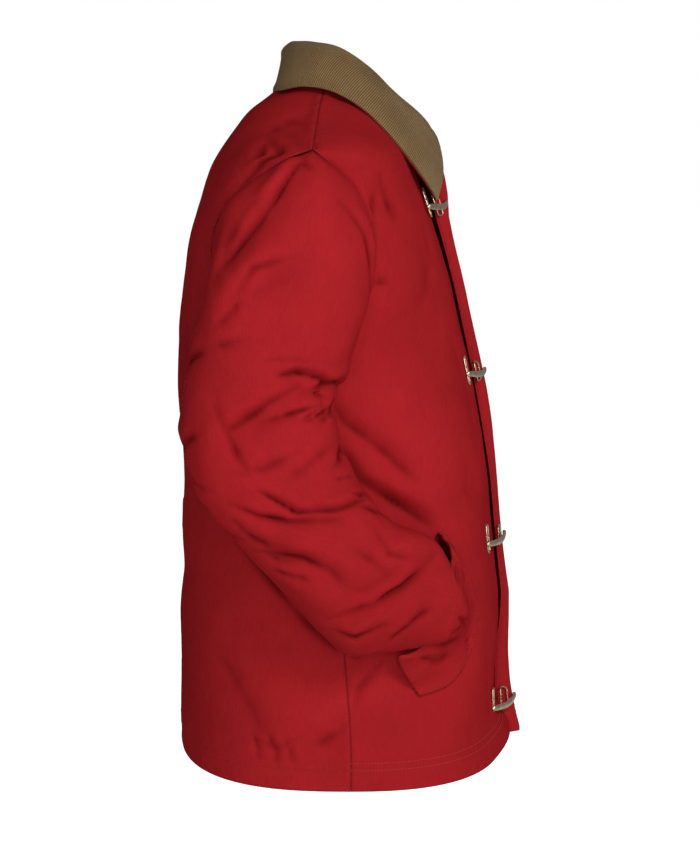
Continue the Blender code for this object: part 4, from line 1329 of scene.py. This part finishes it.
def woven(name, weave, wear):
    """A new cloth material: its tree and shader, the outputs of its weave and wear
    groups, the object's own coordinates and the distance to a seam."""
    tree, shader = new_material(name)
    pattern = tree.nodes.new("ShaderNodeUVMap")
    pattern.uv_map = "pattern"
    place = tree.nodes.new("ShaderNodeTexCoord").outputs["Object"]
    seam = attribute_node(tree, "seam")
    threads = placed_group(tree, weave)
    wire(tree, pattern.outputs["UV"], threads.inputs["Pattern"])
    worn = placed_group(tree, wear)
    wire(tree, place, worn.inputs["Place"])
    wire(tree, seam, worn.inputs["Seam"])
    return tree, shader, threads.outputs, worn.outputs, place, seam


def bumped(tree, height, distance, strength, below=None):
    """A normal bent by a height, on top of another normal where one is given."""
    node = tree.nodes.new("ShaderNodeBump")
    set_inputs(node, Distance=distance, Strength=strength)
    wire(tree, height, node.inputs["Height"])
    if below is not None:
        wire(tree, below, node.inputs["Normal"])
    return node.outputs["Normal"]


def canvas_material(name, color, pale, twill, wear):
    """Heavy cotton canvas, washed pale along its seams and darkened by painted shade deep in its folds."""
    tree, shader, weave, worn, place, seam = woven(name, twill, wear)
    patches = ramp_node(tree, worn["Patches"], 0.0, 1.0, 0.88, 1.08)
    # Painted shade: the colour darkens to 0.42 of itself deep in a crease.
    folds = ramp_node(tree, attribute_node(tree, "fold"), 0.0, 1.0, 1.0, 0.42)
    joins = ramp_node(tree, seam, 0.0, 0.0016, 0.45, 1.0)
    base = tinted(tree, color, weave["Shade"], patches, folds, joins)
    pale_share = times(tree, worn["Pale"], 0.12)
    wire(tree, blended(tree, pale_share, base, pale), shader.inputs["Base Color"])
    wire(tree, ramp_node(tree, worn["Patches"], 0, 1, 0.78, 0.9), shader.inputs["Roughness"])
    under = bumped(tree, worn["Pucker"], 0.0022, 0.8)
    nap = bumped(tree, noise_node(tree, place, 300.0, 3.0), 0.0006, 0.6, under)
    wire(tree, bumped(tree, weave["Height"], 0.0001, 0.4, nap), shader.inputs["Normal"])
    set_inputs(shader, Specular_IOR_Level=0.0)


def corduroy_material(name, color, pale, wale, wear):
    """Fine-wale corduroy, its pile rubbed pale on the ribs."""
    tree, shader, ribs, worn, _, _ = woven(name, wale, wear)
    patches = ramp_node(tree, worn["Patches"], 0.0, 1.0, 0.8, 1.18)
    base = tinted(tree, color, ribs["Shade"], patches)
    rubbed = times(tree, times(tree, worn["Patches"], 0.25), ribs["Shade"])
    wire(tree, blended(tree, rubbed, base, pale), shader.inputs["Base Color"])
    wire(tree, bumped(tree, ribs["Height"], 0.0008, 0.9), shader.inputs["Normal"])
    set_inputs(shader, Roughness=0.92, Specular_IOR_Level=0.0, Sheen_Weight=0.15,
               Sheen_Roughness=0.35, Sheen_Tint=(1.0, 0.85, 0.6, 1))


def thread_material(name, color):
    """Plied sewing thread."""
    tree, shader = new_material(name)
    place = tree.nodes.new("ShaderNodeTexCoord").outputs["Object"]
    ply = noise_node(tree, place, 1500.0, 2.0)
    shade = tinted(tree, color, ramp_node(tree, ply, 0.3, 0.7, 0.8, 1.2))
    wire(tree, shade, shader.inputs["Base Color"])
    wire(tree, bumped(tree, ply, 0.0002, 0.6), shader.inputs["Normal"])
    set_inputs(shader, Roughness=0.8, Specular_IOR_Level=0.1)


def metal_material(name, color, dark):
    """Plated brass, tarnished in patches and scratched bright."""
    tree, shader = new_material(name)
    place = tree.nodes.new("ShaderNodeTexCoord").outputs["Object"]
    tarnish = ramp_node(tree, noise_node(tree, place, 170.0, 3.0), 0.4, 0.75, 0.0, 1.0)
    grain = noise_node(tree, place, 1800.0, 2.0)
    wire(tree, blended(tree, tarnish, color, dark), shader.inputs["Base Color"])
    rough = plus(tree, times(tree, tarnish, 0.16), 0.24)
    rough = plus(tree, rough, times(tree, grain, 0.06))
    wire(tree, rough, shader.inputs["Roughness"])
    wire(tree, bumped(tree, grain, 0.00004, 0.35), shader.inputs["Normal"])
    set_inputs(shader, Metallic=1.0)


def stitch_tree():
    """Stitches along lines: a short plump stitch at every pitch, lying along its line."""
    tree, ends, out = group_ends(
        "stitch_line", "GeometryNodeTree",
        (("Geometry", "NodeSocketGeometry", None), ("Pitch", "NodeSocketFloat", 0.0034),
         ("Stitch Length", "NodeSocketFloat", 0.0026), ("Thread Width", "NodeSocketFloat", 0.0008),
         ("Thread", "NodeSocketMaterial", None)),
        (("Geometry", "NodeSocketGeometry"),))
    nodes = tree.nodes
    curve = nodes.new("GeometryNodeMeshToCurve")
    spaced = nodes.new("GeometryNodeResampleCurve")
    spaced.mode = "LENGTH"
    ball = nodes.new("GeometryNodeMeshIcoSphere")
    set_inputs(ball, Radius=0.5, Subdivisions=1)
    tangent = nodes.new("GeometryNodeInputTangent")
    turn = nodes.new("FunctionNodeAlignRotationToVector")
    turn.axis = "X"
    size = nodes.new("ShaderNodeCombineXYZ")
    placed = nodes.new("GeometryNodeInstanceOnPoints")
    real = nodes.new("GeometryNodeRealizeInstances")
    painted = nodes.new("GeometryNodeSetMaterial")
    wire(tree, ends.outputs["Geometry"], curve.inputs[0])
    wire(tree, curve.outputs[0], spaced.inputs["Curve"])
    wire(tree, ends.outputs["Pitch"], spaced.inputs["Length"])
    wire(tree, spaced.outputs[0], placed.inputs["Points"])
    wire(tree, ball.outputs["Mesh"], placed.inputs["Instance"])
    wire(tree, tangent.outputs[0], turn.inputs["Vector"])
    wire(tree, turn.outputs[0], placed.inputs["Rotation"])
    wire(tree, ends.outputs["Stitch Length"], size.inputs["X"])
    wire(tree, ends.outputs["Thread Width"], size.inputs["Y"])
    wire(tree, ends.outputs["Thread Width"], size.inputs["Z"])
    wire(tree, size.outputs[0], placed.inputs["Scale"])
    wire(tree, placed.outputs[0], real.inputs[0])
    wire(tree, real.outputs[0], painted.inputs["Geometry"])
    wire(tree, ends.outputs["Thread"], painted.inputs["Material"])
    wire(tree, painted.outputs[0], out.inputs[0])
    return tree


def socket_identifier(tree, name):
    """The key under which a modifier keeps one of a group's inputs."""
    return next(item.identifier for item in tree.interface.items_tree
                if item.item_type == "SOCKET" and item.in_out == "INPUT" and item.name == name)


def stitched(name, lines, sizes, thread="thread"):
    """A plain mesh of stitches along the lines."""
    vertices, edges = [], []
    for line in lines:
        start = len(vertices)
        vertices += [tuple(point) for point in line]
        edges += [(start + step, start + step + 1) for step in range(len(line) - 1)]
    guide_mesh = bpy.data.meshes.new(name + "_guide")
    guide_mesh.from_pydata(vertices, edges, [])
    guide = in_scene(name + "_guide", guide_mesh)
    tree = bpy.data.node_groups.get("stitch_line") or stitch_tree()
    modifier = guide.modifiers.new("Stitches", "NODES")
    modifier.node_group = tree
    for label, value in (("Pitch", sizes.stitch_pitch), ("Stitch Length", sizes.stitch_length),
                         ("Thread Width", sizes.thread_width), ("Thread", bpy.data.materials[thread])):
        modifier[socket_identifier(tree, label)] = value
    bpy.context.view_layer.update()
    graph = bpy.context.evaluated_depsgraph_get()
    mesh = bpy.data.meshes.new_from_object(guide.evaluated_get(graph))
    bpy.data.objects.remove(guide, do_unlink=True)
    mesh.name = name
    mesh.shade_smooth()
    settle(in_scene(name, mesh), "red_canvas")


def swept_faces(rows, sides, closed):
    """Faces between the rings of a tube, with its two ends shut unless it joins up."""
    faces = []
    for row in range(rows if closed else rows - 1):
        here, after = row * sides, (row + 1) % rows * sides
        for side in range(sides):
            beside = (side + 1) % sides
            faces.append((here + side, here + beside, after + beside, after + side))
    if not closed:
        faces.append(tuple(range(sides))[::-1])
        faces.append(tuple(range((rows - 1) * sides, rows * sides)))
    return faces


def tube(path, radius, sides, closed):
    """Vertices and faces of a round wire along a path."""
    path = np.asarray(path)
    if closed:
        along = np.roll(path, -1, 0) - np.roll(path, 1, 0)
    else:
        along = np.gradient(path, axis=0)
    along = unit(along)
    guide = unit(np.cross(along, np.array([0.31, -0.9, 0.27])))[:, None]
    other = np.cross(along, guide[:, 0])[:, None]
    turn = np.linspace(0, 2 * math.pi, sides, endpoint=False)[None, :, None]
    ring = np.cos(turn) * guide + np.sin(turn) * other
    vertices = (path[:, None] + ring * radius).reshape(-1, 3)
    return vertices, swept_faces(len(path), sides, closed)


def joined(name, parts, look):
    """One mesh object from (vertices, faces) pairs."""
    mesh = bpy.data.meshes.new(name)
    vertices, faces = [], []
    for more, sides in parts:
        start = len(vertices)
        vertices += [tuple(map(float, point)) for point in more]
        faces += [tuple(start + index for index in side) for side in sides]
    mesh.from_pydata(vertices, [], faces)
    mesh.materials.append(look)
    return finished(name, mesh, 48)


def frame_path(left, x, height, wide, tall):
    """Centre line of a rounded wire frame that lies on a front."""
    path = []
    for corner_x, corner_z, start in ((1, 1, 0), (-1, 1, 90), (-1, -1, 180), (1, -1, 270)):
        for step in range(7):
            turn = math.radians(start + 15 * step)
            px = x + corner_x * (wide / 2 - WIRE_CORNER) + WIRE_CORNER * math.cos(turn)
            pz = height + corner_z * (tall / 2 - WIRE_CORNER) + WIRE_CORNER * math.sin(turn)
            point, normal = surface_at(px, pz, left)
            path.append(point + normal * (WIRE / 2 + WIRE_LIFT))
    return path


def hook_part(clasp, height):
    """The bowed bar of a clasp, curled round its frame's wire and over the loop's."""
    ends = []
    rise = clasp.rise * MM
    for x, step, left in ((clasp.rear * MM, -rise / 2, False), (HOOK_FRONT, rise / 2, True)):
        point, _ = surface_at(x, height + step, left)
        ends.append(point - np.array([0, WIRE + HOOK_THICK / 2 + HOOK_LIFT, 0]))
    span = ends[1] - ends[0]
    forward = unit(span)
    inward = np.array([0, 1.0, 0])
    share = np.linspace(0, 1, 36)[:, None]
    sag = np.array([0, -HOOK_BOW, -HOOK_SAG])
    bar = ends[0] + span * share + np.sin(math.pi * share) * sag
    turns = np.radians(np.linspace(12, 100, 8))[:, None]
    curl = HOOK_CURL * (np.sin(turns) * forward + (1 - np.cos(turns)) * inward)
    back_curl = HOOK_CURL * (-np.sin(turns) * forward + (1 - np.cos(turns)) * inward)
    path = np.concatenate([(bar[0] + back_curl)[::-1], bar, bar[-1] + curl])
    along = unit(np.gradient(path, axis=0))
    up = unit(np.array([0.0, 0.0, 1.0]) - along * along[:, 2:])
    out = np.cross(up, along)
    length = np.linspace(0, 1, len(path))
    width = HOOK_WIDTH * np.interp(length, *np.array(HOOK_WIDTHS).T)
    thick = HOOK_THICK * np.interp(length, *np.array(HOOK_THICKS).T)
    turn = np.linspace(0, 2 * math.pi, HOOK_SIDES, endpoint=False)
    wide = squared(np.cos(turn), 0.85) / 2
    high = squared(np.sin(turn), 0.85) / 2
    ring = (wide[None, :, None] * width[:, None, None] * up[:, None]
            + high[None, :, None] * thick[:, None, None] * out[:, None])
    vertices = (path[:, None] + ring).reshape(-1, 3)
    return vertices, swept_faces(len(path), HOOK_SIDES, False)


def pivot_part(x, height, left):
    """The two small curled straps that hold a wire frame to the cloth."""
    curl = 2.6 * MM
    parts = []
    for shift in (-3.2 * MM, 3.2 * MM):
        path = []
        for step in range(15):
            turn = math.radians(-60 + 20 * step)
            point, normal = surface_at(x + curl * math.cos(turn), height + shift, left)
            path.append(point + normal * (WIRE / 2 + WIRE_LIFT + curl * math.sin(turn) * 0.6))
        parts.append(tube(path, 0.8 * MM, 8, False))
    return parts


def wire_parts(left, x, height, wide, tall):
    """A wire frame on a front and the straps that hold it."""
    frame_wire = tube(frame_path(left, x, height, wide, tall), FINE_WIRE / 2, 12, True)
    return [frame_wire, *pivot_part(x - wide / 2, height, left)]


def body_seams(back, right, left):
    """Lines of stitching on the body."""
    lines = []
    below, arm = ROWS_BELOW_ARM, ROWS_BELOW_ARM + ROWS_ALONG_ARM
    for panel, sides in ((back, ("start", "end")), (right, ("end",)), (left, ("end",))):
        for side in sides:
            lines.append(along_side(panel, side, 5 * MM, below, arm))
    for side in ("start", "end"):
        lines.append(along_side(back, side, 2.2 * MM, 0, below))
        lines.append(along_side(back, side, 2.2 * MM, arm))
    for panel in (right, left):
        for distance in (2.5 * MM, 44 * MM):
            lines.append(along_side(panel, "start", distance, 3))
    return lines


def hem_seams(panels):
    """The two lines of stitching along the hem of each panel."""
    return [along_side(panel, "foot", distance) for panel in panels for distance in (21 * MM, HEM_TURN)]


def sleeve_seam(cloth):
    """The line of stitching beside a sleeve's own seam."""
    column = round(SLEEVE_SEAM * (cloth.points.shape[1] - 1)) + 1
    return cloth.points[6:, column] + cloth.normals[6:, column] * STITCH_LIFT


def length_property(name, description, default):
    """A length in metres."""
    return bpy.props.FloatProperty(name=name, description=description, default=default, unit="LENGTH")


def colour_property(name, description, default):
    """A colour in linear red, green and blue."""
    return bpy.props.FloatVectorProperty(
        name=name, description=description, default=default, subtype="COLOR")


class JacketSizes(bpy.types.PropertyGroup):
    """Sizes of the cloth and its stitching."""

    cloth: length_property("Cloth", "Thickness of the canvas", 0.0018)
    corduroy: length_property("Corduroy", "Thickness of the top collar", 0.0024)
    creases: bpy.props.FloatProperty(
        name="Creases", description="How deep the creases are, 1 as worn", default=1.0, subtype="FACTOR")
    stitch_pitch: length_property("Stitch Pitch", "Distance from stitch to stitch", 0.0034)
    stitch_length: length_property("Stitch Length", "Length of one stitch", 0.0027)
    thread_width: length_property("Thread Width", "Width of the sewing thread", 0.0007)


class JacketColours(bpy.types.PropertyGroup):
    """Colours of the cloth, the thread and the metal."""

    canvas: colour_property("Canvas", "Red of the canvas", (0.385, 0.0155, 0.0195))
    canvas_pale: colour_property("Washed Canvas", "Canvas rubbed pale at its seams", (0.5, 0.04, 0.045))
    lining: colour_property("Lining", "Inside face of the cloth", (0.12, 0.006, 0.009))
    corduroy: colour_property("Corduroy", "Tan of the collar", (0.25, 0.152, 0.066))
    corduroy_pale: colour_property("Rubbed Corduroy", "Pile rubbed pale on the wales", (0.44, 0.3, 0.145))
    thread: colour_property("Thread", "Sewing thread", (0.42, 0.022, 0.027))
    hem_thread: colour_property("Hem Thread", "Sewing thread of the hem", (0.5, 0.055, 0.06))
    metal: colour_property("Metal", "Plated brass of the clasps", (0.76, 0.64, 0.43))
    tarnish: colour_property("Tarnish", "Dark patches on the metal", (0.44, 0.35, 0.22))


class JACKET_OT_materials(bpy.types.Operator):
    """Makes the cloth, thread and metal materials"""

    bl_idname = "jacket.materials"
    bl_label = "Materials"

    def execute(self, context):
        colours = context.scene.jacket_colours
        color = {name: tuple(getattr(colours, name)) for name in JacketColours.__annotations__}
        twill, wale, wear = twill_group(), wale_group(), wear_group()
        canvas_material("red_canvas_cloth", color["canvas"], color["canvas_pale"], twill, wear)
        canvas_material("lining_cloth", color["lining"], color["lining"], twill, wear)
        corduroy_material("tan_corduroy_cloth", color["corduroy"], color["corduroy_pale"], wale, wear)
        thread_material("thread", color["thread"])
        thread_material("hem_thread", color["hem_thread"])
        metal_material("clasp_metal", color["metal"], color["tarnish"])
        return {"FINISHED"}


def canvas_looks():
    """The materials of a canvas shell's outer and inner face."""
    return [bpy.data.materials["red_canvas_cloth"], bpy.data.materials["lining_cloth"]]


class JACKET_OT_body(bpy.types.Operator):
    """Makes the back and the two fronts with their topstitching"""

    bl_idname = "jacket.body"
    bl_label = "Body"

    def execute(self, context):
        sizes = context.scene.jacket_sizes
        panels = {
            "back": back_cloth(sizes.creases),
            "front_right": front_cloth(1, sizes.creases),
            "front_left": front_cloth(-1, sizes.creases),
        }
        for node, cloth in panels.items():
            piece = shell(node + "_cloth", cloth, sizes.cloth, canvas_looks())
            settle(piece, "red_canvas", node)
        back, *fronts = panels.values()
        stitched("body_stitching", body_seams(back, *fronts) + hem_seams([back]), sizes)
        stitched("hem_stitching", hem_seams(fronts), sizes, "hem_thread")
        return {"FINISHED"}


class JACKET_OT_sleeves(bpy.types.Operator):
    """Makes the two bent sleeves"""

    bl_idname = "jacket.sleeves"
    bl_label = "Sleeves"

    def execute(self, context):
        sizes = context.scene.jacket_sizes
        lines = []
        for side, mirror in (("right", 1), ("left", -1)):
            cloth = sleeve_cloth(mirror, sizes.creases)
            piece = shell(f"sleeve_{side}_cloth", cloth, sizes.cloth, canvas_looks(), closed=True)
            settle(piece, "red_canvas", f"sleeve_{side}")
            lines.append(sleeve_seam(cloth))
        stitched("sleeve_stitching", lines, sizes)
        return {"FINISHED"}


class JACKET_OT_collar(bpy.types.Operator):
    """Makes the corduroy top collar and the canvas collar under its fall"""

    bl_idname = "jacket.collar"
    bl_label = "Collar"

    def execute(self, context):
        sizes = context.scene.jacket_sizes
        cloth, roll = collar_cloth()
        looks = [bpy.data.materials["tan_corduroy_cloth"]] * 2
        top = shell("collar_corduroy", cloth, sizes.corduroy, looks)
        settle(top, "tan_corduroy", "collar")
        fall = slice(0, roll - 3)
        points = cloth.points[fall] - cloth.normals[fall] * (sizes.corduroy + SEAM_GAP)
        over = unit(points[0] - points[2])
        points = np.concatenate([points[:1] + over * UNDER_EDGE, points])
        below = laid_out(points, grid_normals(points), ("foot",))
        under = shell("collar_under_cloth", below, UNDER_CLOTH, canvas_looks())
        settle(under, "red_canvas", "undercollar")
        return {"FINISHED"}


class JACKET_OT_pockets(bpy.types.Operator):
    """Makes the patch pockets over the cuffs with their double stitching"""

    bl_idname = "jacket.pockets"
    bl_label = "Pockets"

    def execute(self, context):
        sizes = context.scene.jacket_sizes
        lines = []
        for side, mirror in (("right", 1), ("left", -1)):
            cloth = pocket_cloth(mirror, sizes.creases)
            piece = shell(f"pocket_{side}_cloth", cloth, sizes.cloth, canvas_looks())
            settle(piece, "red_canvas", f"pocket_{side}")
            lines += [along_side(cloth, "end", distance) for distance in (2.4 * MM, 8.4 * MM)]
            lines.append(along_side(cloth, "start", 9 * MM))
        stitched("pocket_stitching", lines, sizes)
        return {"FINISHED"}


class JACKET_OT_clasps(bpy.types.Operator):
    """Makes the wire frames, hooks and loops of the clasps"""

    bl_idname = "jacket.clasps"
    bl_label = "Clasps"

    def execute(self, context):
        metal = bpy.data.materials["clasp_metal"]
        for clasp in CLASP_ROWS:
            height = CLASP_TOP - CLASP_PITCH * (clasp.number - 1)
            frame_at = height + FRAME_LIFT
            kinds = {
                "frame": wire_parts(False, clasp.frame * MM, frame_at, FRAME_WIDE, FRAME_HIGH),
                "hook": [hook_part(clasp, height + clasp.lift * MM)],
                "loop": wire_parts(True, LOOP_X, height, LOOP_WIDE, LOOP_HIGH),
            }
            for kind, parts in kinds.items():
                piece = joined(f"clasp_{kind}_{clasp.number}_metal", parts, metal)
                settle(piece, "aged_brass", f"clasp_{kind}_{clasp.number}")
        return {"FINISHED"}


def facing(place, target):
    """The turn that points a lamp or a camera from its place at a target."""
    return (Vector(target) - Vector(place)).to_track_quat("-Z", "Y").to_euler()


def light_up(lamp):
    """Sets up one lamp of the studio."""
    light = bpy.data.lights.new(lamp.name, "AREA")
    light.energy = lamp.power
    light.size = lamp.size
    holder = in_scene(lamp.name, light)
    holder.location = lamp.place
    holder.rotation_euler = facing(lamp.place, lamp.target)


class JACKET_OT_stage(bpy.types.Operator):
    """Sets the pale floor, the soft studio light and the camera"""

    bl_idname = "jacket.stage"
    bl_label = "Stage"

    def execute(self, context):
        scene = context.scene
        floor_mesh = bpy.data.meshes.new("floor")
        sides = ((-1, -1), (1, -1), (1, 1), (-1, 1))
        corners = [(x * FLOOR_HALF, y * FLOOR_HALF, FLOOR) for x, y in sides]
        floor_mesh.from_pydata(corners, [], [(0, 1, 2, 3)])
        floor = in_scene("floor", floor_mesh)
        tree, shader = new_material("pale_floor")
        set_inputs(shader, Base_Color=(0.9, 0.9, 0.9, 1), Roughness=0.9, Emission_Color=(1, 1, 1, 1))
        seen = tree.nodes.new("ShaderNodeLightPath").outputs["Is Camera Ray"]
        wire(tree, times(tree, seen, 0.86), shader.inputs["Emission Strength"])
        floor_mesh.materials.append(bpy.data.materials["pale_floor"])
        for lamp in LAMPS:
            light_up(lamp)
        world = bpy.data.worlds.new("studio")
        scene.world = world
        world.use_nodes = True
        tree = world.node_tree
        back = tree.nodes["Background"]
        back.inputs["Color"].default_value = (1, 1, 1, 1)
        ray = tree.nodes.new("ShaderNodeLightPath")
        wire(tree, ramp_node(tree, ray.outputs["Is Camera Ray"], 0, 1, 0.2, 1.0), back.inputs["Strength"])
        scene.view_settings.view_transform = "Standard"
        camera = bpy.data.cameras.new("camera")
        holder = in_scene("camera", camera)
        rise = math.radians(CAMERA_RISE)
        back_off = Vector((-math.cos(rise), 0, math.sin(rise))) * CAMERA_AWAY
        holder.location = Vector(CAMERA_AIM) + back_off
        holder.rotation_euler = facing(holder.location, CAMERA_AIM)
        camera.sensor_width = SENSOR
        camera.lens = SENSOR * CAMERA_AWAY / VIEW_HEIGHT
        scene.camera = holder
        return {"FINISHED"}


OPERATORS = (
    JACKET_OT_materials, JACKET_OT_body, JACKET_OT_sleeves, JACKET_OT_collar, JACKET_OT_pockets,
    JACKET_OT_clasps, JACKET_OT_stage,
)


class JACKET_PT_parts(bpy.types.Panel):
    """Lists the jacket's parts in the sidebar"""

    bl_idname = "JACKET_PT_parts"
    bl_label = "Fireman Jacket"
    bl_space_type = "VIEW_3D"
    bl_region_type = "UI"
    bl_category = "Jacket"

    def draw(self, context):
        for group in (context.scene.jacket_sizes, context.scene.jacket_colours):
            for name in group.bl_rna.properties.keys():
                if name not in ("rna_type", "name"):
                    self.layout.prop(group, name)
        for operator in OPERATORS:
            self.layout.operator(operator.bl_idname)


CLASSES = (JacketSizes, JacketColours, *OPERATORS, JACKET_PT_parts)


def register():
    """Adds the jacket's groups, operators and panel."""
    for item in CLASSES:
        bpy.utils.register_class(item)
    bpy.types.Scene.jacket_sizes = bpy.props.PointerProperty(type=JacketSizes)
    bpy.types.Scene.jacket_colours = bpy.props.PointerProperty(type=JacketColours)


def unregister():
    """Takes them away again."""
    del bpy.types.Scene.jacket_colours
    del bpy.types.Scene.jacket_sizes
    for item in reversed(CLASSES):
        bpy.utils.unregister_class(item)


def main():
    """Builds the jacket and its stage."""
    register()
    jacket = bpy.ops.jacket
    for step in (jacket.materials, jacket.body, jacket.sleeves, jacket.collar, jacket.pockets,
                 jacket.clasps, jacket.stage):
        step()


if __name__ == "__main__":
    main()
